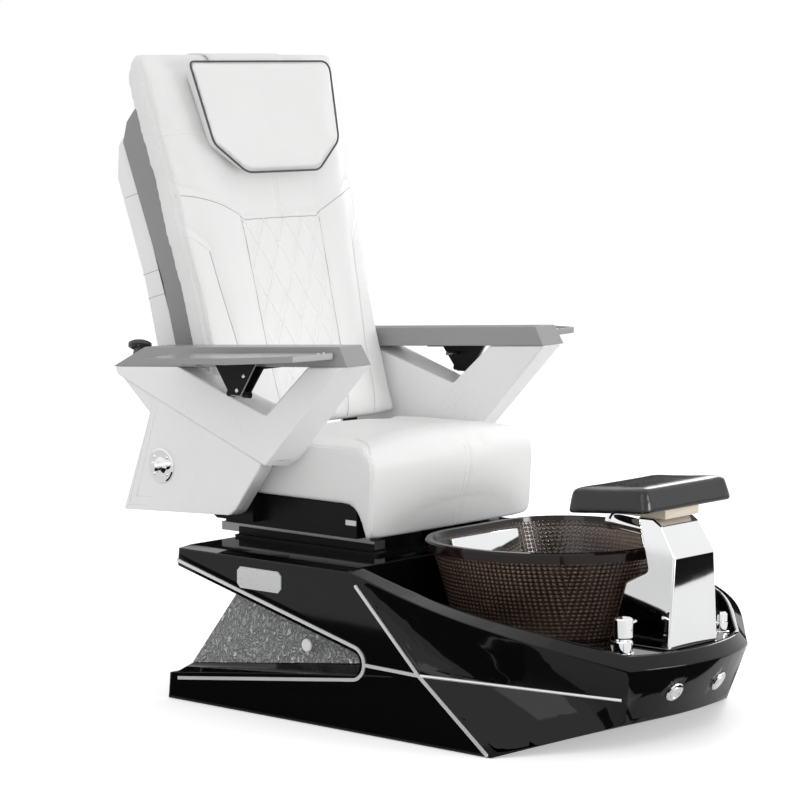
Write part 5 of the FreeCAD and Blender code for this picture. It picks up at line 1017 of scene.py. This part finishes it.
def pillow_outline(inset, steps=6):
    """The shield outline, drawn in by an inset, with rounded corners."""
    corners = [(-122 + inset * 0.5, inset - 4), (114 - inset * 0.5, inset - 4),
               (200 - inset, 64 + inset * 0.3), (222 - inset, 250 - inset),
               (inset - 234, 250 - inset), (inset - 208, 64 + inset * 0.3)]
    radii = [20, 16, 16, 30, 15, 14]
    points = []
    count = len(corners)
    for index, corner in enumerate(corners):
        here = Vector(corner)
        ahead = Vector(corners[(index + 1) % count])
        before = (Vector(corners[index - 1]) - here).normalized()
        after = (ahead - here).normalized()
        reach = max(5.0, radii[index] - inset * 0.2)
        start = here + before * reach
        end = here + after * reach
        for step in range(steps + 1):
            t = step / steps
            points.append(start * (1 - t) ** 2 + here * 2 * t * (1 - t) + end * t * t)
        beyond = ahead - after * max(5.0, radii[(index + 1) % count] - inset * 0.2)
        points.extend(end.lerp(beyond, share) for share in (0.25, 0.5, 0.75))
    return points


def pillow_rings():
    """The pillow's outline at distances out from the pad, each with its inset."""
    steps = ((1, 50), (1.5, 24), (5, 17), (14, 11), (26, 5), (36, 1.5), (40, 0.3), (42, 1), (43.5, 4), (45, 12),
             (45.8, 28), (46.2, 60))
    return [[pillow_point(p.x, p.y, out) for p in pillow_outline(inset)] for out, inset in steps]


def pillow_freedom(points, facing):
    """The pillow swells forwards; its rear rests on the pad."""
    return smooth(0.2, -0.35, facing[:, 1])


def carve_pillow(mesh):
    """A sewn groove under the piping, and soft pulls towards it."""
    points, facing = vertex_values(mesh, "co") / MM, vertex_values(mesh, "normal")
    foot = np.array(pillow_point(0, 0, 0))
    out = -(points[:, 1] - foot[1]) * math.cos(LEAN) + (points[:, 2] - foot[2]) * math.sin(LEAN)
    depth = 1.2 * np.exp(-((out - PILLOW_WELT) / 3.0) ** 2)
    pull = ripples(points[:, (0, 2)], (0.016, 0.016), 2.2, 0.8)
    ahead = smooth(0.4, 0.9, -facing[:, 1])
    set_coordinates(mesh, (points - facing * (depth + ahead * 0.5 * pull)[:, None]) * MM)


def flap_rings(half, thick, grow):
    """The flap's strip over the top of the pad, as rings from one end to the other."""
    path = [(back_station(1340) - 22, 1340), (back_station(1366) - 21, 1366), (back_station(1380) - 20, 1382),
            (back_station(1390) - 15 - grow, 1394 + grow * 0.5), (back_station(1398) - 5, 1402.5 + grow),
            (back_station(1398) + 14, 1403.5 + grow), (back_station(1398) + 46, 1402.4 + grow),
            (back_station(1398) + 61, 1398 + grow * 0.6), (back_station(1388) + 65.5, 1388),
            (back_station(1350) + 65, 1350), (back_station(1310) + 65, 1310)]
    smooth_path = []
    for index in range(len(path) - 1):
        before = Vector(path[max(index - 1, 0)])
        start, end = Vector(path[index]), Vector(path[index + 1])
        after = Vector(path[min(index + 2, len(path) - 1)])
        for step in range(4):
            t = step / 4
            square = 2 * before - 5 * start + 4 * end - after
            cube = 3 * start - before - 3 * end + after
            smooth_path.append(0.5 * (2 * start + (end - before) * t + square * t ** 2 + cube * t ** 3))
    smooth_path.append(Vector(path[-1]))
    rings = []
    for index, point in enumerate(smooth_path):
        before = smooth_path[max(index - 1, 0)]
        after = smooth_path[min(index + 1, len(smooth_path) - 1)]
        along = (after - before).normalized()
        side = Vector((-along.y, along.x))
        ring = [(half * (column / 6 - 1), thick / 2 + 0.6 * math.cos(column * 1.1) * math.sin(index * 0.35))
                for column in range(13)]
        ring += [(half * (1 - column / 6), -thick / 2) for column in range(13)]
        rings.append([(x, point.x + side.x * lift, point.y + side.y * lift) for x, lift in ring])
    return rings, smooth_path


# Footrest pad

FOOTPAD_HALF = 152.5
FOOTPAD_HALF_LENGTH = 102.5
FOOTPAD_STATION = -571
FOOTPAD_LOW = 476
FOOTPAD_TILT = math.radians(4.6)
FOOTPAD_SWELL = 1.6


def footpad_rings():
    """Level rings of the footrest pad: straight drawn-in sides, tight corners and a nearly flat top."""
    rings = []
    for rise, inset in ((0, 2.5), (2, 0.5), (5, 0), (15, 1.2), (30, 3.4), (40, 5.2), (45, 6.8), (48, 9.5), (49.8, 14),
                        (50.6, 24), (51, 44), (51.2, 62)):
        half = FOOTPAD_HALF - inset
        length = FOOTPAD_HALF_LENGTH - inset
        radius = 17 if inset < 20 else 22
        ring = []
        for cx, cy, start in ((1, 1, 0), (-1, 1, 90), (-1, -1, 180), (1, -1, 270)):
            for step in range(7):
                a = math.radians(start + 15 * step)
                x = cx * (half - radius) + radius * math.cos(a)
                y = cy * (length - radius) + radius * math.sin(a)
                ring.append((x, FOOTPAD_STATION + y * math.cos(FOOTPAD_TILT) + rise * math.sin(FOOTPAD_TILT),
                             FOOTPAD_LOW - y * math.sin(FOOTPAD_TILT) + rise * math.cos(FOOTPAD_TILT)))
        rings.append(ring)
    return rings


def footpad_freedom(points, facing):
    """The footrest pad swells upwards; its underside rests on the board."""
    return smooth(-0.2, 0.3, facing[:, 2])


# Settings

class SpaChairUpholstery(bpy.types.PropertyGroup):
    """Sizes and colours of the cushions and their sewing."""

    seat_swell: bpy.props.FloatProperty(name="Seat swell", description="Most that the seat swells", default=0.009,
                                        min=0.0, max=0.03, unit="LENGTH")
    back_swell: bpy.props.FloatProperty(name="Back swell", description="Most that the back pad swells", default=0.007,
                                        min=0.0, max=0.03, unit="LENGTH")
    pillow_swell: bpy.props.FloatProperty(name="Pillow swell", description="Most that the pillow swells",
                                          default=0.004, min=0.0, max=0.03, unit="LENGTH")
    seam_depth: bpy.props.FloatProperty(name="Seam depth", description="Depth of the back's sewn lines",
                                        default=0.0024, min=0.0, max=0.01, unit="LENGTH")
    stitch_pitch: bpy.props.FloatProperty(name="Stitch pitch", description="Distance between stitches", default=0.006,
                                          min=0.002, max=0.02, unit="LENGTH")
    stitch_length: bpy.props.FloatProperty(name="Stitch length", description="Length of one stitch", default=0.0048,
                                           min=0.001, max=0.02, unit="LENGTH")
    stitch_thickness: bpy.props.FloatProperty(name="Thread radius", description="Radius of the thread",
                                              default=0.0009, min=0.0001, max=0.003, unit="LENGTH")
    leather_colour: bpy.props.FloatVectorProperty(name="Leather", description="Colour of seat, back and pillow",
                                                  default=(0.80, 0.80, 0.795), min=0, max=1, subtype="COLOR")
    footrest_colour: bpy.props.FloatVectorProperty(name="Footrest", description="Colour of the footrest's cover",
                                                   default=(0.012, 0.012, 0.013), min=0, max=1, subtype="COLOR")
    piping_colour: bpy.props.FloatVectorProperty(name="Piping", description="Colour of the pillow's piping",
                                                 default=(0.07, 0.07, 0.075), min=0, max=1, subtype="COLOR")


class SpaChairFinishes(bpy.types.PropertyGroup):
    """Colours of the moulded, painted and metal parts, and their rounded edges."""

    base_colour: bpy.props.FloatVectorProperty(name="Base", description="Gloss moulding of the base",
                                               default=(0.0035, 0.0035, 0.0038), min=0, max=1, subtype="COLOR")
    arm_colour: bpy.props.FloatVectorProperty(name="Arms", description="Moulding of the arm panels and rear cover",
                                              default=(0.86, 0.86, 0.86), min=0, max=1, subtype="COLOR")
    cap_colour: bpy.props.FloatVectorProperty(name="Arm caps", description="Grey of the arm caps and trays",
                                              default=(0.30, 0.30, 0.30), min=0, max=1, subtype="COLOR")
    band_colour: bpy.props.FloatVectorProperty(name="Back band", description="Grey of the band round the back",
                                               default=(0.275, 0.275, 0.275), min=0, max=1, subtype="COLOR")
    resin_colour: bpy.props.FloatVectorProperty(name="Basin", description="Smoked resin of the foot basin",
                                                default=(0.36, 0.25, 0.195), min=0, max=1, subtype="COLOR")
    edge_round: bpy.props.FloatProperty(name="Edge rounding", description="Rounding of the moulded edges",
                                        default=0.003, min=0.0002, max=0.01, unit="LENGTH")


class SpaChairStudio(bpy.types.PropertyGroup):
    """Lamps, camera and floor."""

    key_power: bpy.props.FloatProperty(name="Key lamp", description="Power of the key lamp", default=17, min=0,
                                       unit="POWER")
    fill_power: bpy.props.FloatProperty(name="Fill lamp", description="Power of the fill lamp", default=30, min=0,
                                        unit="POWER")
    seat_power: bpy.props.FloatProperty(name="Seat lamp", description="Power of the lamp aimed at the seat's front",
                                        default=105, min=0, unit="POWER")
    rim_power: bpy.props.FloatProperty(name="Rim lamp", description="Power of the lamp behind the footrest's far side",
                                       default=30, min=0, unit="POWER")
    top_power: bpy.props.FloatProperty(name="Top lamp", description="Power of the lamp overhead", default=7, min=0,
                                       unit="POWER")
    lens: bpy.props.FloatProperty(name="Lens", description="Focal length of the camera", default=141.57, min=20)


# Operators

class MakeFinishes(bpy.types.Operator):
    """Build the shader groups and every material"""

    bl_idname = "spa_chair.make_finishes"
    bl_label = "Finishes"

    def execute(self, context):
        leather_grain_group()
        surface_wear_group()
        cloth = context.scene.spa_chair_upholstery
        look = context.scene.spa_chair_finishes
        leather("white_leather", cloth.leather_colour, 0.42)
        leather("black_vinyl", cloth.footrest_colour, 0.16, grain=0.003, strength=0.06)
        leather("dark_piping", cloth.piping_colour, 0.5, grain=0.0012)
        # Mid grey for the cords in the back's seam grooves: painted shade, not a leather colour.
        leather("painted_seam_shade", (0.33, 0.33, 0.33), 0.6, grain=0.0012)
        leather("white_thread", (0.95, 0.95, 0.945), 0.7, grain=0.0008, strength=0.5)
        leather("black_thread", (0.02, 0.02, 0.02), 0.6, grain=0.0008, strength=0.5)
        hard("gloss_black", look.base_colour, 0.045, smudge=0.03, ripple=0.09, strength=0.12, gloss=0.3)
        hard("rim_gloss", (0.010, 0.005, 0.004), 0.05, smudge=0.03, ripple=0.05, strength=0.08, gloss=0.35)
        hard("white_gloss", look.arm_colour, 0.26, smudge=0.05, ripple=0.006, strength=0.03)
        hard("shaded_gap", (0.42, 0.42, 0.42), 0.5, smudge=0.05, ripple=0.004, strength=0.05)
        hard("grey_satin", look.cap_colour, 0.3, smudge=0.08, ripple=0.002, strength=0.05)
        hard("band_grey", look.band_colour, 0.42, smudge=0.08, ripple=0.0015, strength=0.08)
        hard("tray_grey", look.cap_colour, 0.22, smudge=0.06, ripple=0.006, strength=0.03)
        hard("coated_black", (0.005, 0.005, 0.0055), 0.28, smudge=0.1, ripple=0.0012, strength=0.12, gloss=0.15)
        hard("pod_dark", (0.045, 0.045, 0.05), 0.35, smudge=0.08, ripple=0.002, strength=0.05)
        hard("chrome", (0.88, 0.885, 0.89), 0.025, smudge=0.03, ripple=0.12, strength=0.10, metal=1.0)
        hard("bright_strip", (0.82, 0.825, 0.83), 0.3, smudge=0.08, ripple=0.01, strength=0.03, metal=0.45)
        hard("jet_silver", (0.85, 0.855, 0.86), 0.03, smudge=0.03, ripple=0.05, strength=0.25, metal=1.0)
        hard("pump_black", (0.05, 0.05, 0.055), 0.5, smudge=0.1, ripple=0.003, strength=0.1)
        hard("white_cap", (0.8, 0.8, 0.79), 0.3, smudge=0.06, ripple=0.004, strength=0.03)
        hard("bare_label", (0.74, 0.74, 0.73), 0.3, smudge=0.1, ripple=0.003, strength=0.03)
        brushed("brushed_plate", (0.70, 0.705, 0.71), 0.3, along=(1, 1, 30), metal=0.45)
        brushed("ground_steel", (0.50, 0.50, 0.51), 0.3, along=(30, 1, 1))
        brushed("zinc_steel", (0.32, 0.33, 0.34), 0.4, along=(1, 30, 1))
        hammered("hammered_grey", (0.33, 0.335, 0.34))
        smoked_resin("smoked_resin", look.resin_colour)
        pale_board("pale_board", (0.62, 0.55, 0.45))
        return {"FINISHED"}


# Boxes round the base's tail corners, tail edge, deck sides and heel, and the bow's small faces, which stay sharp

BASE_ROUNDINGS = (((408, 404, 299), (412, 411, 337), 19), ((-1, 404, 334), (412, 408, 341), 19),
                  ((371, -104, 335), (412, 407, 341), 8), ((408, 430, -1), (412, 440, 58), 9),
                  ((45, -740, 80), (105, -640, 155), 0), ((120, -730, 40), (240, -620, 150), 0))


class DressBase(bpy.types.Operator):
    """Finish the base, basin, chassis and slide, with the bare badge and drain grid"""

    bl_idname = "spa_chair.dress_base"
    bl_label = "Base and basin"

    def execute(self, context):
        width = context.scene.spa_chair_finishes.edge_round / MM
        softened("base_shell", "base_moulding", "base", "gloss_black", width, angle=6,
                 wider=BASE_ROUNDINGS)
        softened("chrome_column", "column_casting", "base", "chrome", 5, angle=15, segments=4)
        softened("jet_cover", "jet_housing", "base", "jet_silver", 4, angle=15, segments=3)
        dress("bright_strip", "trim_right", "trim_left")
        dress("brushed_plate", "badge_plate")
        dress("hammered_grey", "hammered_panel_right", "hammered_panel_left")
        dress("smoked_resin", "basin")
        dress("rim_gloss", "basin_rim")
        dress("pump_black", "jet_pump")
        dress("coated_black", "chassis", "slide_base", "slide_drive")
        dress("chrome", "spout", "drain_fitting", "tap_base", "tap_neck", "tap_lever", "spray_socket", "hand_spray",
              "button_bezel_right", "button_bezel_left")
        dress("bright_strip", "air_button_right", "air_button_left")
        dress("white_cap", "panel_knob_right", "panel_knob_left")
        low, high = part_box("drain_fitting")
        x, y = (low[0] + high[0]) / 2 / MM, (low[1] + high[1]) / 2 / MM
        top = high[2] / MM
        grid = turned_mesh("drain_disc", [(0, -2.6), (15.6, -2.6), (15.6, -1.2), (13, -0.6), (0, -0.2)], 32)
        disc = fitted("drain_grid", grid, [((x, y, top), (0, 0, 1))], "base", "chrome")
        hole = turned_mesh("drain_hole", [(0, -0.3), (1.7, -0.3), (1.7, 0.05), (0, 0.05)], 10)
        places = [((x + radius * math.cos(a), y + radius * math.sin(a), top - 0.35), (0, 0, 1))
                  for radius, count in ((0.01, 1), (5, 6), (10, 12)) for a in turns(count)]
        fitted("drain_holes", hole, places, "base", "pump_black")
        disc.data.shade_smooth()
        return {"FINISHED"}


class MakeSeat(bpy.types.Operator):
    """Stuff the seat cushion, sew it, and finish the seat frame with its bare label"""

    bl_idname = "spa_chair.make_seat"
    bl_label = "Seat"

    def execute(self, context):
        cloth = context.scene.spa_chair_upholstery
        places = [SEAT_HALF * math.sin(math.pi / 2 * (2 * step / 60 - 1)) for step in range(61)]
        points, faces = lofted([seat_ring(x) for x in places])
        mesh = stuffed("seat_upholstery", points, faces, 7, cloth.seat_swell / MM, seat_freedom)
        carve_seat(mesh)
        seat = piece_from("seat_upholstery", mesh, "seat", "white_leather", ("seat_cushion",))
        stitched("seat_stitches", seat_seams(surface_of(seat)), "seat", "white_thread", cloth)
        dress("coated_black", "seat_frame", "arm_carrier_right", "arm_carrier_left")
        dress("zinc_steel", "runner_right", "runner_left", "drive_nut")
        dress("ground_steel", "recline_shaft")
        plate = plate_mesh("label_plate", ((13, 405), (43, 405), (43, 416), (13, 416)), -261.2, -260)
        piece_from("label_plate", plate, "seat", "bare_label")
        return {"FINISHED"}


COVER_PARTINGS = (880, 933, 1102)


class MakeBack(bpy.types.Operator):
    """Stuff and quilt the back pad, sew it, and finish the band, cover and frame"""

    bl_idname = "spa_chair.make_back"
    bl_label = "Back"

    def execute(self, context):
        cloth = context.scene.spa_chair_upholstery
        levels = [(BACK_LOW, 12), (BACK_LOW + 4, 6), (BACK_LOW + 12, 1)]
        levels += [(z, 0) for z in range(BACK_LOW + 26, BACK_TOP - 14, 13)]
        levels += [(BACK_TOP - 9, 1), (BACK_TOP - 2, 4), (BACK_TOP + 2.5, 8.5), (BACK_TOP + 5, 16)]
        points, faces = lofted([back_ring(z, inset) for z, inset in levels])
        mesh = stuffed("back_upholstery", points, faces, 7, cloth.back_swell / MM, back_freedom)
        carve_back(mesh, cloth.seam_depth / MM)
        back = piece_from("back_upholstery", mesh, "back", "white_leather", ("back_pad",))
        stitched("back_stitches", back_seams(surface_of(back)), "back", "white_thread", cloth)
        # Dark cords sunk in the seam grooves: painted shade where the seams' own shadow falls.
        folds = joined_tubes("back_fold_lines", back_seam_shade_runs(surface_of(back)), 1.0)
        piece_from("back_fold_lines", folds, "back", "painted_seam_shade")
        softened("back_band", "band_moulding", "back", "band_grey", 4, angle=20)
        cover = softened("back_shell", "rear_cover", "back", "white_gloss", 6, angle=12, segments=4)
        tree = surface_of(cover)
        slope = Vector(BACK_INWARDS)
        # Grey cords laid on the cover along its partings: painted shade of the gaps, which are not modelled.
        parting = []
        for height in COVER_PARTINGS:
            run = []
            for step in range(-36, 37):
                a = math.radians(step * 2.5)
                way = Vector((math.sin(a), 0, 0)) + slope * math.cos(a)
                start = Vector((0, back_station(height) + 120, height)) + way * 460
                run += laid(tree, [start], -way, lift=0.0, reach=460)
            if len(run) > 2:
                parting.append(run)
        lines = joined_tubes("cover_parting_lines", parting, 0.7)
        piece_from("cover_parting_lines", lines, "back", "shaded_gap")
        dress("coated_black", "back_frame", "massage_carriage")
        return {"FINISHED"}


class MakePillow(bpy.types.Operator):
    """Stuff the head pillow, with its piping and the flap over the top"""

    bl_idname = "spa_chair.make_pillow"
    bl_label = "Pillow"

    def execute(self, context):
        cloth = context.scene.spa_chair_upholstery
        points, faces = lofted(pillow_rings())
        mesh = stuffed("pillow_upholstery", points, faces, 5, cloth.pillow_swell / MM, pillow_freedom, rounds=20)
        carve_pillow(mesh)
        pillow = piece_from("pillow_upholstery", mesh, "pillow", "white_leather", ("pillow",))
        path = [pillow_point(p.x, p.y, PILLOW_WELT) for p in pillow_outline(-0.8, steps=8)]
        piping = tube_mesh("pillow_piping", path, 2.4, closed=True)
        piece_from("pillow_piping", piping, "pillow", "dark_piping")
        rings, path = flap_rings(FLAP_HALF, 4, 0.5)
        leather_strip = mesh_from("flap_leather", *lofted(rings))
        flap = piece_from("flap_leather", leather_strip, "back", "white_leather", ("pillow_flap",))
        return {"FINISHED"}


ARM_FACE = 362
TRAY_FACE = 391
TRAY_SLOPE = 0.0575
HINGE_OUTLINE = ((181, 755.5), (307, 748), (259, 680), (231, 680))
ARM_RIBS = (((580, 429), (536, 431.5)), ((604, 408), (543, 412)), ((599, 414), (527, 634), (547, 676)),
            ((577, 432), (514, 628), (530, 660)))


class MakeArms(bpy.types.Operator):
    """Finish the arms, pivot covers, trays, hangers and the control pod, with their screws"""

    bl_idname = "spa_chair.make_arms"
    bl_label = "Arms and trays"

    def execute(self, context):
        look = context.scene.spa_chair_finishes
        width = look.edge_round / MM
        screw = turned_mesh("screw_head", [(0, -1.5), (3.2, -1.5), (3.2, 0.8), (2.4, 1.6), (1.4, 1.9), (1.3, 1.0),
                                           (0, 0.9)], 12)
        for name, side in SIDES.items():
            body = "arm_" + name
            softened("arm_panel_" + name, "arm_moulding_" + name, body, "white_gloss", width * 1.6,
                     angle=10)
            softened("arm_cap_" + name, "arm_rest_" + name, body, "grey_satin", width * 0.7, angle=12)
            softened("side_tray_" + name, "tray_moulding_" + name, "tray_" + name, "tray_grey",
                     width * 0.4, angle=20, segments=2)
            dress("chrome", "pivot_cover_" + name)
            dress("coated_black", "tray_hanger_" + name, "tray_latch_" + name)
            low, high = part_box("pivot_cover_" + name)
            y, z = (low[1] + high[1]) / 2 / MM, (low[2] + high[2]) / 2 / MM
            x = side * (ARM_FACE + 5)
            places = [((x, y + 27 * math.cos(a), z + 27 * math.sin(a)), (side, 0, 0))
                      for a in (math.radians(45 + 90 * step) for step in range(4))]
            fitted("pivot_screws_" + name, screw, places, body, "chrome")
        bolt = turned_mesh("bolt_head", [(0, -2), (4.6, -2), (4.6, 1.2), (3.6, 2.6), (1.6, 3.2), (1.4, 2.0),
                                         (0, 1.9)], 14)
        for name, side in SIDES.items():
            body = "tray_" + name
            plate = plate_mesh("hinge_plate_" + name, HINGE_OUTLINE, side * TRAY_FACE, side * (TRAY_FACE - 2))
            piece_from("hinge_plate_" + name, plate, body, "coated_black")
            places = [((side * TRAY_FACE, y, z), (side, 0, 0)) for y, z in ((217, 722), (237, 690))]
            fitted("hinge_bolts_" + name, bolt, places, body, "chrome")
            rod = tube_mesh("hinge_rod_" + name, [(side * x, 262, 716) for x in (366, 330)], 3.4, sides=12)
            piece_from("hinge_rod_" + name, rod, "arm_" + name, "zinc_steel")
            places = [((side * x, y, 785.3 - TRAY_SLOPE * (y + 22)), (0, TRAY_SLOPE, 1))
                      for x, y in ((385, -8), (399, -6))]
            fitted("tray_screws_" + name, screw, places, body, "chrome", size=0.8)
            runs = [spread([(side * ARM_FACE, y, z) for y, z in run], 20) for run in ARM_RIBS]
            ribs = joined_tubes("arm_ribs_" + name, runs, 0.9)
            piece_from("arm_ribs_" + name, ribs, "arm_" + name, "white_gloss")
        dress("pod_dark", "control_pod")
        return {"FINISHED"}


class MakeFootrest(bpy.types.Operator):
    """Stuff the footrest pad and finish its board"""

    bl_idname = "spa_chair.make_footrest"
    bl_label = "Footrest"

    def execute(self, context):
        points, faces = lofted(footpad_rings())
        mesh = stuffed("footrest_upholstery", points, faces, 4, FOOTPAD_SWELL, footpad_freedom)
        pad = piece_from("footrest_upholstery", mesh, "footrest", "black_vinyl", ("footrest_pad",))
        dress("pale_board", "footrest_bearer")
        return {"FINISHED"}


# Stage, with lamps and camera in metres and cards in millimetres

WORLD_GREY = 0.82
FLOOR_GREY = 0.84
FLOOR_GLOW = 0.42
FLOOR_HALF = 9000
LAMP_TARGET = (0, 0, 0.7)
SEAT_LAMP_PLACE = (0.9, -3.2, 1.4)
SEAT_LAMP_TARGET = (0, -0.05, 0.52)
CAMERA_PLACE = (-5.191, -4.423, 1.406)
CAMERA_TURN = math.radians(-48.828)
CAMERA_RISE = math.radians(6.286)
CARDS = {
    "far_card": [(3680, 415, -20), (920, 3585, -20), (920, 3585, 1300), (3680, 415, 1300)],
    "side_mat": [(-1220, -700, 0), (-430, -500, 0), (-430, 500, 0), (-1420, 1500, 0)],
    "front_mat": [(-450, -780, 0), (-1100, -1450, 0), (900, -1250, 0), (480, -740, 0)],
    "column_card": [(900, -1860, -60), (1420, -1410, 157), (1420, -1410, 235), (900, -1860, 235)],
}


def ray_world(world):
    """White behind the object and in its reflections, a plain grey for its light."""
    world.use_nodes = True
    nodes = world.node_tree.nodes
    nodes.clear()
    rays = nodes.new("ShaderNodeLightPath")
    seen = sum_node(nodes, "MAXIMUM", rays.outputs["Is Camera Ray"], rays.outputs["Is Transmission Ray"])
    seen = sum_node(nodes, "MAXIMUM", seen, rays.outputs["Is Glossy Ray"])
    mix = nodes.new("ShaderNodeMixShader")
    fed(mix.inputs["Fac"], seen)
    for index, grey in ((1, WORLD_GREY), (2, 1.0)):
        background = nodes.new("ShaderNodeBackground")
        background.inputs["Color"].default_value = (grey, grey, grey, 1)
        fed(mix.inputs[index], background.outputs[0])
    fed(nodes.new("ShaderNodeOutputWorld").inputs["Surface"], mix.outputs[0])


def stage_sheet(name, corners):
    """A four-cornered sheet of the stage and its shader, matt."""
    material = bpy.data.materials.new(name)
    material.use_nodes = True
    shader = material.node_tree.nodes["Principled BSDF"]
    shader.inputs["Specular IOR Level"].default_value = 0.0
    mesh = mesh_from(name, corners, [(0, 1, 2, 3)], outward=False, shaded=False)
    mesh.materials.append(material)
    sheet = linked(name, mesh)
    return sheet, shader


def dark_card(name, corners):
    """A black card that only mirrors see, as photographers use for dark metal and gloss."""
    card, shader = stage_sheet(name, corners)
    shader.inputs["Base Color"].default_value = (0.01, 0.01, 0.01, 1)
    card.visible_camera = card.visible_diffuse = card.visible_transmission = card.visible_shadow = False


def studio_floor():
    """Pale floor: its own white to the eye, less where the object shades it."""
    corners = [(x * FLOOR_HALF, y * FLOOR_HALF, -1) for x, y in ((-1, -1), (1, -1), (1, 1), (-1, 1))]
    _, shader = stage_sheet("studio_floor", corners)
    shader.inputs["Roughness"].default_value = 0.9
    shader.inputs["Base Color"].default_value = (FLOOR_GREY, FLOOR_GREY, FLOOR_GREY, 1)
    shader.inputs["Emission Color"].default_value = (1, 1, 1, 1)
    nodes = shader.id_data.nodes
    rays = nodes.new("ShaderNodeLightPath")
    fed(shader.inputs["Emission Strength"],
        sum_node(nodes, "MULTIPLY", rays.outputs["Is Camera Ray"], FLOOR_GLOW))


def lamp_at(name, kind, place, target, power):
    """A lamp of a kind at a place, aimed at a target."""
    lamp = bpy.data.lights.new(name, kind)
    lamp.energy = power
    holder = linked(name, lamp)
    holder.location = place
    holder.rotation_euler = (Vector(target) - Vector(place)).to_track_quat("-Z", "Y").to_euler()
    return lamp


class MakeStage(bpy.types.Operator):
    """Floor, lamps and camera"""

    bl_idname = "spa_chair.make_stage"
    bl_label = "Stage"

    def execute(self, context):
        scene = context.scene
        studio = scene.spa_chair_studio
        scene.view_settings.view_transform = "Standard"
        studio_floor()
        scene.world = bpy.data.worlds.new("studio")
        ray_world(scene.world)
        for name, corners in CARDS.items():
            dark_card(name, corners)
        for name, place, size, power in (("key_lamp", (-3.4, -2.0, 2.2), 2.2, studio.key_power),
                                         ("fill_lamp", (1.0, -3.6, 0.75), 1.5, studio.fill_power),
                                         ("rim_lamp", (3.4, 0.94, 1.75), 1.5, studio.rim_power),
                                         ("top_lamp", (0.0, 0.2, 4.0), 3.0, studio.top_power)):
            lamp = lamp_at(name, "AREA", place, LAMP_TARGET, power)
            lamp.shape = "SQUARE"
            lamp.size = size
        spot = lamp_at("seat_lamp", "SPOT", SEAT_LAMP_PLACE, SEAT_LAMP_TARGET, studio.seat_power)
        spot.shadow_soft_size = 0.4
        spot.spot_size = math.radians(22)
        spot.spot_blend = 1.0
        view = bpy.data.cameras.new("photo_view")
        view.lens = studio.lens
        view.sensor_width = 36
        view.clip_end = 60
        scene.camera = linked("photo_view", view)
        scene.camera.location = CAMERA_PLACE
        back = Vector((math.sin(CAMERA_TURN) * math.cos(CAMERA_RISE),
                       -math.cos(CAMERA_TURN) * math.cos(CAMERA_RISE), math.sin(CAMERA_RISE)))
        scene.camera.rotation_euler = back.to_track_quat("Z", "Y").to_euler()
        return {"FINISHED"}


class SpaChairPanel(bpy.types.Panel):
    """Lists the steps that dress the chair, and their sizes and colours"""

    bl_idname = "VIEW3D_PT_spa_chair"
    bl_label = "Spa chair"
    bl_space_type = "VIEW_3D"
    bl_region_type = "UI"
    bl_category = "Spa chair"

    def draw(self, context):
        for group in (context.scene.spa_chair_upholstery, context.scene.spa_chair_finishes,
                      context.scene.spa_chair_studio):
            box = self.layout.box()
            for name in group.__annotations__:
                box.prop(group, name)
        for step in STEPS:
            self.layout.operator(step.bl_idname)


STEPS = (MakeFinishes, DressBase, MakeFootrest, MakeSeat, MakeBack, MakePillow, MakeArms, MakeStage)
CLASSES = (SpaChairUpholstery, SpaChairFinishes, SpaChairStudio) + STEPS + (SpaChairPanel,)


def register():
    """Add the settings, steps and panel."""
    for entry in CLASSES:
        bpy.utils.register_class(entry)
    bpy.types.Scene.spa_chair_upholstery = bpy.props.PointerProperty(type=SpaChairUpholstery)
    bpy.types.Scene.spa_chair_finishes = bpy.props.PointerProperty(type=SpaChairFinishes)
    bpy.types.Scene.spa_chair_studio = bpy.props.PointerProperty(type=SpaChairStudio)


def unregister():
    """Take them out again."""
    del bpy.types.Scene.spa_chair_studio
    del bpy.types.Scene.spa_chair_finishes
    del bpy.types.Scene.spa_chair_upholstery
    for entry in reversed(CLASSES):
        bpy.utils.unregister_class(entry)


def main():
    """Dress the chair from its first step to its last."""
    register()
    bpy.ops.spa_chair.make_finishes()
    bpy.ops.spa_chair.dress_base()
    bpy.ops.spa_chair.make_footrest()
    bpy.ops.spa_chair.make_seat()
    bpy.ops.spa_chair.make_back()
    bpy.ops.spa_chair.make_pillow()
    bpy.ops.spa_chair.make_arms()
    bpy.ops.spa_chair.make_stage()


if __name__ == "__main__":
    main()
